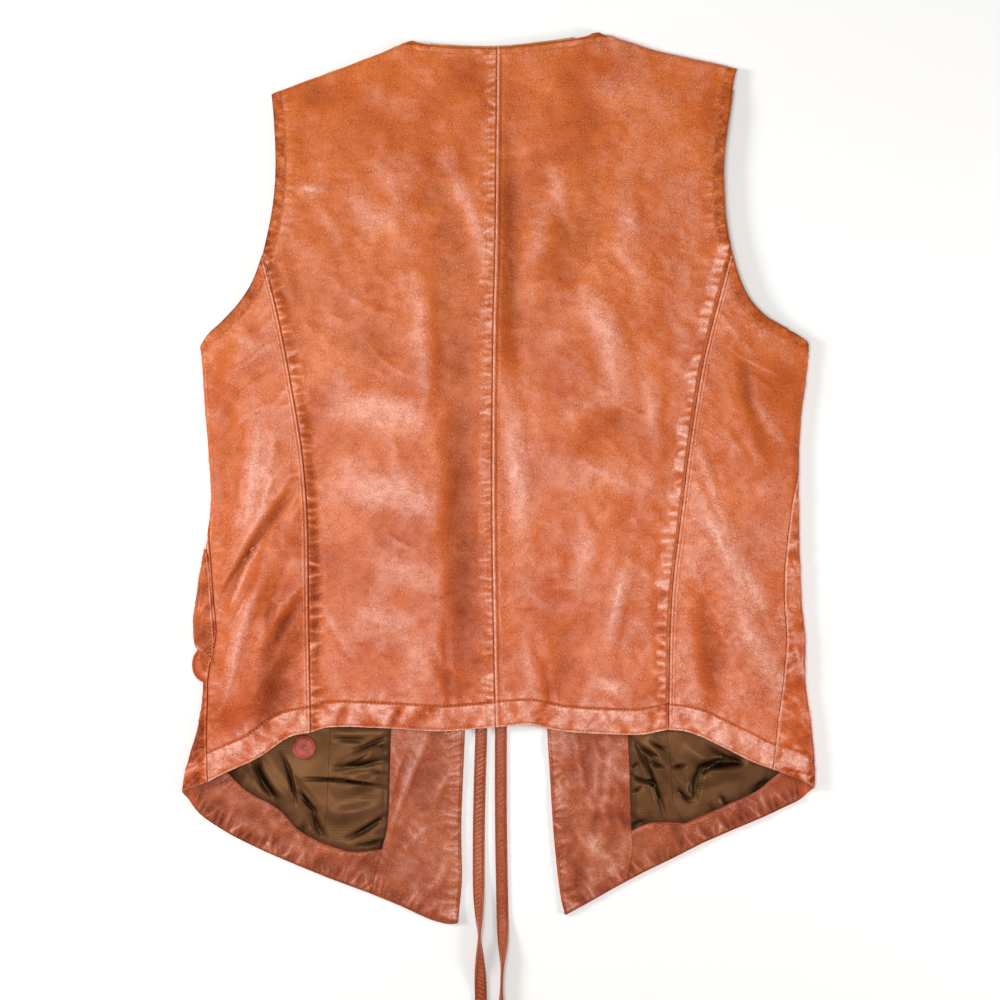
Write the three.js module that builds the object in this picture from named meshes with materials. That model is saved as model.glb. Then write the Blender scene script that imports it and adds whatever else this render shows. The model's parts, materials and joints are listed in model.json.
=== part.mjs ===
// A tan leather vest laid flat on its fronts, with its back up.
// Units are millimetres. X runs across the vest, Y up towards the neck and Z up from the surface it lies on.
// The origin is on that surface, at the middle of the vest's outline without its two ties.
import * as THREE from "three";

// Thickness of each material, and the gap left along every seam.
const LEATHER = 1.3;
const FACING_LEATHER = 1.0;
const SATIN = 1.0;
const SEAM_GAP = 0.3;

// How the layers lie: the side folds, the shoulder folds and the height of the back over the fronts.
const FOLD_RADIUS = 4.5;
const FOLD_LENGTH = Math.PI * FOLD_RADIUS;
const SHOULDER_RADIUS = 3.6;
const SHOULDER_EASE = 60;
const BACK_HEIGHT = 7.2;
const SIDE_PUFF = 2.2;
const HEM_PUFF = 1.6;
const PUFF_CENTRE = 0.78;
const PUFF_REACH = 0.22;

// Depths below the outer face of the leather: the inner pieces of the fronts start one gap behind it, and those
// of the back hang a little lower.
const BEHIND_LEATHER = LEATHER + SEAM_GAP;
const BEHIND_FACING = BEHIND_LEATHER + FACING_LEATHER;
const BEHIND_BACK = LEATHER + 0.8;

// The pocket flap passes under the left side fold, and lifts the front there by its own thickness and a gap.
const FLAP_LEATHER = 1.3;
const FLAP_GAP = 0.6;
const POCKET_LIFT = { height: FLAP_LEATHER + FLAP_GAP, top: -24, bottom: -198, ease: 32, from: 150, to: 196 };

// Width of the two ties and how thick the doubled strap is.
const TIE_WIDTH = 9.6;
const TIE_THICKNESS = 2;

// Colours and finish of the materials.
const COLOURS = { leather: 0xc4633c, facing: 0xb9603f, satin: 0x5b3d1f, edge: 0xc9b48a, button: 0x9c3b26 };
const ROUGHNESS = { leather: 0.45, facing: 0.6, satin: 0.35, edge: 0.7, button: 0.25 };

// Every outline below is given as seen from above: w is the distance out from the centre line on that side, y the
// height up the vest. Inset is the distance in from the side fold, measured along the leather, and is negative
// where the seam has gone round the fold to the underside.

const CENTRE_SEAM = [
  { x: -1.6, y: 345.2 },
  { x: -3.2, y: 183 },
  { x: -4.8, y: 119 },
  { x: -5.6, y: -30 },
  { x: -4.0, y: -137 },
  { x: -2.7, y: -198.2 },
];

const LEFT = {
  sign: -1,
  fold: [
    { y: 103, edge: 238.4 },
    { y: 47, edge: 234.4 },
    { y: -9, edge: 230.4 },
    { y: -33, edge: 231.6 },
    { y: -65, edge: 235.6 },
    { y: -97, edge: 240.8 },
    { y: -121, edge: 242.8 },
    { y: -145, edge: 238.6 },
    { y: -169, edge: 236.8 },
    { y: -193, edge: 240 },
    { y: -225, edge: 248.8 },
    { y: -247, edge: 253.4 },
  ],
  sideSeam: [
    { y: 104, inset: -6 },
    { y: 20, inset: -5 },
    { y: -12, inset: -2.4 },
    { y: -35, inset: 1.6 },
    { y: -65, inset: 8.4 },
    { y: -97, inset: 16 },
    { y: -122, inset: 20 },
    { y: -141, inset: 13 },
    { y: -161, inset: 7.5 },
    { y: -193, inset: 9.4 },
    { y: -225, inset: 18.5 },
    { y: -241.6, inset: 22.8 },
  ],
  princess: [
    { y: 179.2, w: 188.6 },
    { y: 132, w: 176.8 },
    { y: 74, w: 165.6 },
    { y: 18, w: 156.8 },
    { y: -30, w: 153 },
    { y: -105, w: 152 },
    { y: -202, w: 150.4 },
  ],
  armholeUpper: [
    { y: 179.2, w: 188.6 },
    { y: 207, w: 182.4 },
    { y: 231, w: 179.2 },
    { y: 255, w: 178.4 },
    { y: 287, w: 180 },
    { y: 308, w: 182.2 },
  ],
  armholeLower: [
    { y: 179.2, w: 188.6 },
    { y: 159, w: 196 },
    { y: 143, w: 205.6 },
    { y: 127, w: 220 },
    { y: 117, w: 231 },
  ],
  neckline: [
    { y: 345.2, w: 1.6 },
    { y: 346, w: 39.2 },
    { y: 348.4, w: 63.2 },
  ],
  shoulder: [
    { y: 350.4, w: 72.8 },
    { y: 344, w: 87.2 },
    { y: 325.6, w: 135.2 },
    { y: 317, w: 159.2 },
    { y: 308, w: 182.2 },
  ],
  hemBack: [
    { y: -198.4, w: 2.7 },
    { y: -201.6, w: 47 },
    { y: -199.2, w: 87 },
    { y: -198.4, w: 137 },
    { y: -202, w: 150.4 },
  ],
  hemSide: [
    { y: -202, w: 150.4 },
    { y: -205.6, w: 167 },
    { y: -221.6, w: 191 },
    { y: -234.4, w: 218.4 },
  ],
  foldCorner: { y: -251, inset: 0 },
  hemFront: [
    { y: -264, w: 244 },
    { y: -273, w: 234.4 },
    { y: -289, w: 208 },
    { y: -305, w: 172.8 },
    { y: -321, w: 133.6 },
    { y: -337, w: 90.4 },
    { y: -353, w: 55.2 },
    { y: -357, w: 39 },
    { y: -356, w: 32.8 },
  ],
  frontEdge: [
    { y: -356, w: 32.8 },
    { y: -340, w: 31.2 },
    { y: -321.6, w: 29.6 },
    { y: -279, w: 30.2 },
    { y: -201.6, w: 27.2 },
    { y: -33, w: 22.4 },
    { y: 23, w: 21 },
  ],
  neckEdge: [
    { y: 23, w: 21 },
    { y: 63, w: 24 },
    { y: 143, w: 35 },
    { y: 223, w: 50 },
    { y: 303, w: 65 },
  ],
  armholeFront: [
    { y: 109, w: 231 },
    { y: 116, w: 219 },
    { y: 132, w: 200 },
    { y: 160, w: 184 },
    { y: 207, w: 174 },
    { y: 255, w: 173 },
    { y: 297, w: 178 },
  ],
  facingEdge: [
    { y: -332, w: 101.6 },
    { y: -314, w: 98.6 },
    { y: -297, w: 94 },
    { y: -279, w: 89.6 },
    { y: -202, w: 86.4 },
    { y: -100, w: 80 },
    { y: 0, w: 74 },
    { y: 120, w: 84 },
    { y: 300, w: 108 },
  ],
  liningHem: [
    { y: -297, w: 94 },
    { y: -299, w: 118 },
    { y: -292, w: 142.4 },
    { y: -281, w: 160.8 },
    { y: -265, w: 176 },
    { y: -250, w: 202.4 },
    { y: -234.4, w: 218.4 },
    { y: -221, w: 229 },
  ],
  liningSeam: [
    { y: -292, w: 142.4 },
    { y: -276, w: 139.2 },
    { y: -201, w: 135.2 },
    { y: -130, w: 133 },
  ],
  liningTop: [
    { y: -130, w: 82 },
    { y: -130, w: 133 },
    { y: -130, w: 226 },
  ],
};

const RIGHT = {
  sign: 1,
  fold: [
    { y: 105, edge: 248 },
    { y: 79, edge: 245.6 },
    { y: 47, edge: 241.6 },
    { y: 15, edge: 240 },
    { y: -33, edge: 240.4 },
    { y: -97, edge: 242.4 },
    { y: -129, edge: 245.4 },
    { y: -161, edge: 245.4 },
    { y: -193, edge: 249.6 },
    { y: -233, edge: 253.4 },
    { y: -250, edge: 252.2 },
  ],
  sideSeam: [
    { y: 106, inset: -6 },
    { y: 55, inset: -4.6 },
    { y: 30, inset: -2 },
    { y: 9.6, inset: 2 },
    { y: -10, inset: 7 },
    { y: -41, inset: 12 },
    { y: -73, inset: 16 },
    { y: -136, inset: 19 },
    { y: -162, inset: 21.6 },
    { y: -190, inset: 29 },
    { y: -213, inset: 34 },
    { y: -231.2, inset: 38.4 },
  ],
  princess: [
    { y: 181.6, w: 185.4 },
    { y: 146, w: 176 },
    { y: 94, w: 163.2 },
    { y: 24, w: 152 },
    { y: -34, w: 144.8 },
    { y: -79, w: 139.2 },
    { y: -117, w: 136.8 },
    { y: -200, w: 135.2 },
  ],
  armholeUpper: [
    { y: 181.6, w: 185.4 },
    { y: 207, w: 181 },
    { y: 239, w: 179.2 },
    { y: 263, w: 180 },
    { y: 287, w: 183.2 },
    { y: 319, w: 188 },
    { y: 328.4, w: 191.2 },
  ],
  armholeLower: [
    { y: 181.6, w: 185.4 },
    { y: 159, w: 192 },
    { y: 143, w: 200 },
    { y: 129.6, w: 212.8 },
    { y: 122.4, w: 224.8 },
    { y: 115.6, w: 238 },
  ],
  neckline: [
    { y: 345.2, w: -1.6 },
    { y: 348.4, w: 32.8 },
    { y: 353.6, w: 68.8 },
  ],
  shoulder: [
    { y: 356.8, w: 80.8 },
    { y: 349.6, w: 104.8 },
    { y: 342.4, w: 128.8 },
    { y: 334.4, w: 164.8 },
    { y: 328.4, w: 191.2 },
  ],
  hemBack: [
    { y: -198, w: -2.7 },
    { y: -196.4, w: 24.8 },
    { y: -201.2, w: 48.8 },
    { y: -204, w: 97 },
    { y: -204, w: 114 },
    { y: -200, w: 135.2 },
  ],
  hemSide: [
    { y: -200, w: 135.2 },
    { y: -202.4, w: 152.8 },
    { y: -212.8, w: 176.8 },
    { y: -224.8, w: 200.8 },
  ],
  foldCorner: { y: -247, inset: 0 },
  hemFront: [
    { y: -256.8, w: 241.6 },
    { y: -264.8, w: 224.8 },
    { y: -272.8, w: 208 },
    { y: -288.8, w: 169.6 },
    { y: -304.8, w: 137.6 },
    { y: -320.8, w: 104.8 },
    { y: -336.8, w: 76.8 },
    { y: -349.6, w: 53 },
  ],
  frontEdge: [
    { y: -349.6, w: 53 },
    { y: -337, w: 49.6 },
    { y: -289, w: 44 },
    { y: -241, w: 40.8 },
    { y: -201, w: 38.4 },
    { y: -33, w: 27.2 },
    { y: 23, w: 24 },
  ],
  neckEdge: [
    { y: 23, w: 24 },
    { y: 63, w: 27 },
    { y: 143, w: 37 },
    { y: 223, w: 51 },
    { y: 303, w: 68 },
  ],
  armholeFront: [
    { y: 109, w: 240 },
    { y: 116, w: 228 },
    { y: 132, w: 207 },
    { y: 160, w: 187 },
    { y: 207, w: 175 },
    { y: 255, w: 174 },
    { y: 313, w: 185 },
  ],
  facingEdge: [
    { y: -321, w: 103 },
    { y: -308, w: 105.4 },
    { y: -294, w: 106.8 },
    { y: -282, w: 106 },
    { y: -205, w: 103.2 },
    { y: -100, w: 94 },
    { y: 0, w: 84 },
    { y: 120, w: 90 },
    { y: 300, w: 114 },
  ],
  liningHem: [
    { y: -282, w: 106 },
    { y: -276, w: 120 },
    { y: -276, w: 148.8 },
    { y: -260, w: 184.8 },
    { y: -250.4, w: 205.6 },
    { y: -237.6, w: 221.6 },
    { y: -228, w: 233 },
  ],
  liningSeam: [
    { y: -276, w: 148.8 },
    { y: -260, w: 140 },
    { y: -230, w: 137.6 },
    { y: -205, w: 134.4 },
    { y: -130, w: 131 },
  ],
  liningTop: [
    { y: -130, w: 97 },
    { y: -130, w: 131 },
    { y: -130, w: 233 },
  ],
};

// The largest folds of the back. Each runs from (x0, y0) to (x1, y1) and fades out at its ends.
const BACK_FOLDS = [
  { x0: 14, y0: 310, x1: 18, y1: -40, reach: 15, height: -0.9 },
  { x0: -8, y0: 320, x1: -12, y1: -180, reach: 14, height: 0.5 },
  { x0: -150, y0: 280, x1: -95, y1: 40, reach: 34, height: 0.8 },
  { x0: -60, y0: 250, x1: -24, y1: -20, reach: 22, height: -0.7 },
  { x0: -120, y0: 60, x1: -70, y1: -150, reach: 30, height: 0.7 },
  { x0: 120, y0: 290, x1: 70, y1: 60, reach: 36, height: 0.9 },
  { x0: 60, y0: 60, x1: 110, y1: -120, reach: 30, height: 0.7 },
  { x0: -186, y0: -40, x1: -226, y1: -112, reach: 9, height: -1.3 },
  { x0: -172, y0: -40, x1: -214, y1: -130, reach: 14, height: 1.4 },
  { x0: -162, y0: -120, x1: -205, y1: -190, reach: 13, height: 1.0 },
  { x0: 168, y0: -20, x1: 214, y1: -160, reach: 16, height: 1.2 },
  { x0: 190, y0: -10, x1: 226, y1: -90, reach: 12, height: -1.0 },
  { x0: 158, y0: -110, x1: 200, y1: -205, reach: 14, height: -0.9 },
];

// The folds of the satin linings, by height above their lowest level.
const LINING_FOLDS = [
  { x0: -92, y0: -214, x1: -128, y1: -232, reach: 9, height: 2.4 },
  { x0: -92, y0: -238, x1: -134, y1: -252, reach: 8, height: 2.0 },
  { x0: -94, y0: -262, x1: -136, y1: -270, reach: 8, height: 1.7 },
  { x0: -144, y0: -266, x1: -186, y1: -226, reach: 9, height: 2.2 },
  { x0: -152, y0: -272, x1: -204, y1: -222, reach: 9, height: 2.0 },
  { x0: 110, y0: -212, x1: 128, y1: -256, reach: 8, height: 2.2 },
  { x0: 118, y0: -206, x1: 152, y1: -258, reach: 8, height: 2.4 },
  { x0: 146, y0: -214, x1: 190, y1: -238, reach: 9, height: 2.2 },
  { x0: 152, y0: -244, x1: 206, y1: -226, reach: 9, height: 2.0 },
];

// Routes of the two ties along the middle of the strap, from the end sewn to the facing to the cut end.
// Low is the height of the strap's lowest point, and turn how far it has rolled about its length, in degrees.
const LEFT_TIE = [
  { x: -28.6, y: 12, low: 3, turn: 0 },
  { x: -28.2, y: 0, low: 3, turn: 0 },
  { x: -26, y: -18, low: 3, turn: 0 },
  { x: -22.4, y: -40, low: 3, turn: 0 },
  { x: -18.6, y: -64, low: 3, turn: 0 },
  { x: -16, y: -90, low: 1.2, turn: 0 },
  { x: -14.6, y: -120, low: 0.1, turn: 0 },
  { x: -14, y: -160, low: 0.1, turn: 0 },
  { x: -14.2, y: -200, low: 0.1, turn: 0 },
  { x: -15.4, y: -240, low: 0.1, turn: 0 },
  { x: -16.2, y: -280, low: 0.1, turn: 0 },
  { x: -16.4, y: -320, low: 0.1, turn: 12 },
  { x: -16.2, y: -345, low: 0.1, turn: 48 },
  { x: -15.8, y: -366, low: 0.1, turn: 90 },
  { x: -15.4, y: -386, low: 0.1, turn: 132 },
  { x: -14.8, y: -406, low: 0.1, turn: 172 },
  { x: -14.4, y: -426, low: 0.1, turn: 180 },
  { x: -14.2, y: -446, low: 0.1, turn: 180 },
];
const RIGHT_TIE = [
  { x: 31.6, y: 12, low: 3, turn: 0 },
  { x: 31, y: 0, low: 3, turn: 0 },
  { x: 27.8, y: -18, low: 3, turn: 0 },
  { x: 22.6, y: -38, low: 3, turn: 0 },
  { x: 16.6, y: -62, low: 1.4, turn: 0 },
  { x: 11, y: -90, low: 0.1, turn: 0 },
  { x: 6, y: -125, low: 0.1, turn: 0 },
  { x: 2.8, y: -160, low: 0.1, turn: 0 },
  { x: 1.6, y: -200, low: 0.1, turn: 0 },
  { x: 1.4, y: -240, low: 0.1, turn: 0 },
  { x: 1.6, y: -280, low: 0.1, turn: 0 },
  { x: 2.2, y: -320, low: 0.1, turn: 0 },
  { x: 2.8, y: -350, low: 0.1, turn: 4 },
  { x: 3, y: -370, low: 0.1, turn: 35 },
  { x: 2.6, y: -388, low: 0.1, turn: 80 },
  { x: 2, y: -406, low: 0.1, turn: 90 },
  { x: 1.6, y: -426, low: 0.1, turn: 60 },
  { x: 1.4, y: -448, low: 0.1, turn: 12 },
];

// Reads a column at height y, on a smooth curve through the rows.
function valueAt(rows, column, y) {
  const sorted = rows[0].y > rows[rows.length - 1].y ? [...rows].reverse() : rows;
  const last = sorted.length - 1;
  if (y <= sorted[0].y) return sorted[0][column];
  if (y >= sorted[last].y) return sorted[last][column];
  const i = sorted.findIndex((row) => row.y > y) - 1;
  const slope = (a, b) => (sorted[b][column] - sorted[a][column]) / (sorted[b].y - sorted[a].y);
  const span = sorted[i + 1].y - sorted[i].y;
  const t = (y - sorted[i].y) / span;
  const startSlope = slope(Math.max(i - 1, 0), i + 1) * span;
  const endSlope = slope(i, Math.min(i + 2, last)) * span;
  const rise = sorted[i + 1][column] - sorted[i][column];
  const tail = t * t * (t - 1) * endSlope;
  return sorted[i][column] + t * t * (3 - 2 * t) * rise + t * (t - 1) * (t - 1) * startSlope + tail;
}

const ease = (t) => THREE.MathUtils.smoothstep(t, 0, 1);

// Height that a table of folds adds at (x, y): a rounded ridge or trough along each fold's line.
function foldHeight(folds, x, y) {
  let height = 0;
  for (const fold of folds) {
    const along = new THREE.Vector2(fold.x1 - fold.x0, fold.y1 - fold.y0);
    const length = along.length();
    const t = ((x - fold.x0) * along.x + (y - fold.y0) * along.y) / (length * length);
    const off = Math.abs((x - fold.x0) * along.y - (y - fold.y0) * along.x) / length / fold.reach;
    if (t <= 0 || t >= 1 || off >= 1) continue;
    height += fold.height * Math.sin(Math.PI * t) * (1 - off * off) ** 2;
  }
  return height;
}

// How far the pocket flap lifts the leather at the left side.
function pocketLift(side, w, y) {
  if (side.sign > 0) return 0;
  const { height, top, bottom, ease: soft, from, to } = POCKET_LIFT;
  const along = ease((top - y) / soft) * ease((y - bottom) / soft);
  return height * along * ease((w - from) / (to - from));
}

const foldStart = (side, y) => valueAt(side.fold, "edge", y) - FOLD_RADIUS;

// The line where the shoulder fold begins, one radius in from the shoulder's outline.
function shoulderLine(side, w) {
  const rows = side.shoulder;
  const run = rows.map((row) => ({ y: row.w, height: row.y }));
  const [first, final] = [rows[0], rows[rows.length - 1]];
  const slope = (final.y - first.y) / (final.w - first.w);
  const tilt = Math.atan(-slope);
  const outside = Math.min(w - first.w, 0) + Math.max(w - final.w, 0);
  const outline = valueAt(run, "height", w) + outside * slope;
  return { tilt, y: outline - SHOULDER_RADIUS / Math.cos(tilt) };
}

// Height of the back's outer face over the floor.
function backHeight(side, w, y) {
  const reach = Math.min(Math.abs(w) / foldStart(side, y), 1);
  const hem = ease((-120 - y) / 90);
  const q = Math.min(Math.abs(reach - PUFF_CENTRE) / PUFF_REACH, 1);
  const puff = (SIDE_PUFF + HEM_PUFF * hem) * (1 - q * q) ** 2;
  const level = THREE.MathUtils.lerp(BACK_HEIGHT, 2 * FOLD_RADIUS, ease(reach));
  const free = level + puff + foldHeight(BACK_FOLDS, side.sign * w, y) + pocketLift(side, w, y);
  const nearShoulder = ease(1 - (shoulderLine(side, w).y - y) / SHOULDER_EASE);
  return THREE.MathUtils.lerp(free, 2 * SHOULDER_RADIUS, nearShoulder);
}

// The outer face of the whole vest. Spread is the distance out from the centre line along the leather: over the
// back, round the side fold and on along the underside of the front.
function outerFace(side, spread, y) {
  const start = foldStart(side, y);
  const round = THREE.MathUtils.clamp((spread - start) / FOLD_RADIUS, 0, Math.PI);
  const layer = round < Math.PI / 2 ? 1 : -1;
  const point = new THREE.Vector3();
  if (round <= 0) {
    point.set(spread, y, backHeight(side, spread, y));
  } else if (round < Math.PI) {
    const lift = pocketLift(side, start, y);
    point.set(start + FOLD_RADIUS * Math.sin(round), y, lift + FOLD_RADIUS * (1 + Math.cos(round)));
  } else {
    const w = 2 * start + FOLD_LENGTH - spread;
    point.set(w, y, pocketLift(side, w, y));
  }
  const shoulder = shoulderLine(side, point.x);
  const past = (y - shoulder.y) * Math.cos(shoulder.tilt);
  if (past > 0) {
    const turn = Math.min(past / SHOULDER_RADIUS, Math.PI / 2);
    const slide = SHOULDER_RADIUS * Math.sin(turn) - past;
    point.x += slide * Math.sin(shoulder.tilt);
    point.y += slide * Math.cos(shoulder.tilt);
    point.z -= layer * SHOULDER_RADIUS * (1 - Math.cos(turn));
  }
  point.x *= side.sign;
  return point;
}

// A point at a depth below the outer face, towards the inside of the vest.
function atDepth(side, spread, y, depth) {
  const step = 0.05;
  const across = outerFace(side, spread + step, y).sub(outerFace(side, spread - step, y));
  const up = outerFace(side, spread, y + step).sub(outerFace(side, spread, y - step));
  const normal = across.cross(up).multiplyScalar(side.sign).normalize();
  return outerFace(side, spread, y).addScaledVector(normal, -depth);
}

// Ways to read a row of an outline as a place on the leather, x for the spread and y for the height.
const onBack = (side) => (w, y) => new THREE.Vector2(w, y);
const onFront = (side) => (w, y) => new THREE.Vector2(2 * foldStart(side, y) + FOLD_LENGTH - w, y);
const byInset = (side) => (inset, y) => new THREE.Vector2(foldStart(side, y) + FOLD_LENGTH / 2 - inset, y);

// A path along the rows of an outline, as a function of a share from 0 to 1 of its length.
function path(rows, column, place) {
  const points = rows.map((row) => new THREE.Vector3(row[column], row.y, 0));
  const curve = new THREE.CatmullRomCurve3(points, false, "centripetal");
  return (t) => {
    const point = curve.getPointAt(THREE.MathUtils.clamp(t, 0, 1));
    return place(point.x, point.y);
  };
}

// Two paths end to end, the first taking the given share.
function joined(first, second, share) {
  return (t) => (t < share ? first(t / share) : second((t - share) / (1 - share)));
}

const reversed = (route) => (t) => route(1 - t);
const trimmed = (route, share) => (t) => route(share + (1 - 2 * share) * t);

// A sheet filled in between four paths that share their corners.
function patch({ bottom, top, start, end }) {
  const corners = [bottom(0), bottom(1), top(0), top(1)];
  return (u, v) => {
    const point = new THREE.Vector2();
    point.addScaledVector(bottom(u), 1 - v).addScaledVector(top(u), v);
    point.addScaledVector(start(v), 1 - u).addScaledVector(end(v), u);
    point.addScaledVector(corners[0], -(1 - u) * (1 - v)).addScaledVector(corners[1], -u * (1 - v));
    return point.addScaledVector(corners[2], -(1 - u) * v).addScaledVector(corners[3], -u * v);
  };
}

// Shares from 0 to 1, in zones that each have a number of even steps and the share at which the zone ends.
function shares(...zones) {
  const list = [0];
  for (const { steps, end } of zones) {
    const from = list[list.length - 1];
    for (let i = 1; i <= steps; i++) list.push(from + ((end - from) * i) / steps);
  }
  return list;
}

const evenShares = (steps) => shares({ steps, end: 1 });

// Rows up a side seam, closest where the seam crosses the fold. Above the underarm there are a few more rows.
const SEAM_ZONES = [
  { steps: 6, end: 0.45 },
  { steps: 10, end: 0.82 },
  { steps: 2, end: 1 },
];
const SEAM_ROWS = shares(...SEAM_ZONES);

function rowsPast(share, steps) {
  const below = SEAM_ZONES.map((zone) => ({ steps: zone.steps, end: zone.end * share }));
  return shares(...below, { steps, end: 1 });
}

// A closed wall over a sheet, between two depths. Half a seam gap is left free along its start and its end.
function wall(side, sheet, columns, rows, outer, inner, pointAt = atDepth) {
  const positions = [];
  const depthAt = (depth, spread, y) => (typeof depth === "function" ? depth(spread, y) : depth);
  for (const depth of [outer, inner]) {
    for (const v of rows) {
      for (const u of columns) {
        const { x, y } = sheet(u, v);
        const spread = x + (SEAM_GAP / 2) * (1 - 2 * u);
        positions.push(...pointAt(side, spread, y, depthAt(depth, spread, y)).toArray());
      }
    }
  }
  const wide = columns.length;
  const layer = wide * rows.length;
  const index = [];
  const quad = (a, b, c, d) => {
    if (side.sign > 0) index.push(a, b, c, a, c, d);
    else index.push(a, c, b, a, d, c);
  };
  for (let j = 0; j < rows.length - 1; j++) {
    for (let i = 0; i < wide - 1; i++) {
      const a = j * wide + i;
      quad(a, a + 1, a + wide + 1, a + wide);
      quad(layer + a, layer + a + wide, layer + a + wide + 1, layer + a + 1);
    }
    const left = j * wide;
    const right = left + wide - 1;
    quad(left, left + wide, layer + left + wide, layer + left);
    quad(right, layer + right, layer + right + wide, right + wide);
  }
  for (let i = 0; i < wide - 1; i++) {
    const top = layer - wide + i;
    quad(i + 1, i, layer + i, layer + i + 1);
    quad(top, top + 1, layer + top + 1, layer + top);
  }
  const geometry = new THREE.BufferGeometry();
  geometry.setAttribute("position", new THREE.Float32BufferAttribute(positions, 3));
  geometry.setIndex(index);
  geometry.computeVertexNormals();
  return geometry;
}

const vest = new THREE.Group();
vest.name = "vest";

function add(name, geometry, finish) {
  const material = new THREE.MeshStandardMaterial({
    color: COLOURS[finish],
    roughness: ROUGHNESS[finish],
    metalness: 0,
    side: THREE.DoubleSide,
  });
  const mesh = new THREE.Mesh(geometry, material);
  mesh.name = name;
  vest.add(mesh);
  return mesh;
}

// Where the back and the front meet along the shoulder, just past the top of the fold.
function shoulderSeam(side, place) {
  const end = (SHOULDER_RADIUS * Math.PI) / 2 - SEAM_GAP / 2;
  const rows = side.shoulder.map(({ w }) => {
    const line = shoulderLine(side, w);
    return { w, y: line.y + end / Math.cos(line.tilt) };
  });
  return path(rows, "w", place);
}

// The armhole edge below the side panel, from the end of its table round to the side seam.
function underarm(side) {
  const rows = side.armholeLower.map(({ w, y }) => ({ spread: w, y }));
  const seam = side.sideSeam[0];
  const middle = foldStart(side, seam.y) + FOLD_LENGTH / 2;
  rows.push({ spread: middle, y: seam.y + 1.4 });
  rows.push({ spread: middle - seam.inset, y: seam.y });
  return path(rows, "spread", onBack(side));
}

const NECK_SHARE = 0.4;
const ARMHOLE_SHARE = 0.75;
const BACK_COLUMNS = shares({ steps: 4, end: NECK_SHARE }, { steps: 6, end: 1 });
const BACK_ROWS = rowsPast(ARMHOLE_SHARE, 7);

// A centre back panel: from the centre back seam to the princess seam and the armhole, from hem to shoulder.
function backPanel(side) {
  const place = onBack(side);
  const centre = CENTRE_SEAM.map(({ x, y }) => ({ w: side.sign * x, y }));
  const seamTop = shoulderSeam(side, place);
  const corner = seamTop(0);
  const neckline = path([...side.neckline, { w: corner.x, y: corner.y }], "w", place);
  const armhole = [...side.armholeUpper];
  const tip = seamTop(1);
  armhole[armhole.length - 1] = { w: tip.x, y: tip.y };
  const sheet = patch({
    bottom: path(side.hemBack, "w", place),
    top: joined(neckline, seamTop, NECK_SHARE),
    start: reversed(path(centre, "w", place)),
    end: joined(reversed(path(side.princess, "w", place)), path(armhole, "w", place), ARMHOLE_SHARE),
  });
  return wall(side, sheet, BACK_COLUMNS, BACK_ROWS, 0, LEATHER);
}

const SIDE_FOLD_SHARE = 0.82;
const SIDE_COLUMNS = shares({ steps: 6, end: SIDE_FOLD_SHARE }, { steps: 6, end: 1 });

// A side back panel: from the princess seam to the side seam, from the hem to the armhole.
function sidePanel(side) {
  const seam = path(side.sideSeam, "inset", byInset(side));
  const foot = seam(1);
  const hem = [...side.hemSide, { w: foot.x, y: foot.y }];
  const sheet = patch({
    bottom: path(hem, "w", onBack(side)),
    top: underarm(side),
    start: reversed(path(side.princess, "w", onBack(side))),
    end: reversed(seam),
  });
  return wall(side, sheet, SIDE_COLUMNS, SEAM_ROWS, 0, LEATHER);
}

const FRONT_FOLD_SHARE = 0.2;
const FRONT_COLUMNS = shares({ steps: 12, end: FRONT_FOLD_SHARE }, { steps: 7, end: 1 });
const UNDERARM_SHARE = 0.6;
const FRONT_ROWS = rowsPast(UNDERARM_SHARE, 8);

// A front: from the side seam, seen beside the back, round the fold and along the floor to the front edge.
function frontPanel(side) {
  const place = onFront(side);
  const seam = path(side.sideSeam, "inset", byInset(side));
  const foot = side.sideSeam[side.sideSeam.length - 1];
  const landing = { inset: -FOLD_LENGTH / 2 - 1, y: (side.foldCorner.y + side.hemFront[0].y) / 2 };
  const corner = path([foot, side.foldCorner, landing], "inset", byInset(side));
  const start = corner(1);
  const landed = { w: 2 * foldStart(side, start.y) + FOLD_LENGTH - start.x, y: start.y };
  const hem = path([landed, ...side.hemFront], "w", place);
  const shoulder = reversed(shoulderSeam(side, place));
  const underarmPoint = seam(0);
  const pit = { w: 2 * foldStart(side, underarmPoint.y) + FOLD_LENGTH - underarmPoint.x, y: underarmPoint.y };
  const [tip, neck] = [0, 1].map((t) => {
    const point = shoulder(t);
    return { w: 2 * foldStart(side, point.y) + FOLD_LENGTH - point.x, y: point.y };
  });
  const armhole = path([pit, ...side.armholeFront, tip], "w", place);
  const opening = joined(path(side.frontEdge, "w", place), path([...side.neckEdge, neck], "w", place), UNDERARM_SHARE);
  const sheet = patch({
    bottom: joined(corner, hem, FRONT_FOLD_SHARE),
    top: shoulder,
    start: joined(reversed(seam), armhole, UNDERARM_SHARE),
    end: opening,
  });
  return wall(side, sheet, FRONT_COLUMNS, FRONT_ROWS, 0, LEATHER);
}

const FACING_TOP = 300;
const FACING_SETBACK = 0.8;
const FACING_ROWS = shares({ steps: 10, end: 0.26 }, { steps: 12, end: 1 });

// The part of a front's hem on one side of the foot of the facing's seam, set back from the leather's edge.
function facingHem(side, keep) {
  const foot = side.facingEdge[0];
  const rows = side.hemFront.map(({ w, y }) => ({ w, y: y + FACING_SETBACK }));
  return keep === "front" ? [foot, ...rows.filter(({ w }) => w < foot.w)] : [...rows.filter(({ w }) => w > foot.w), foot];
}

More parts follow.
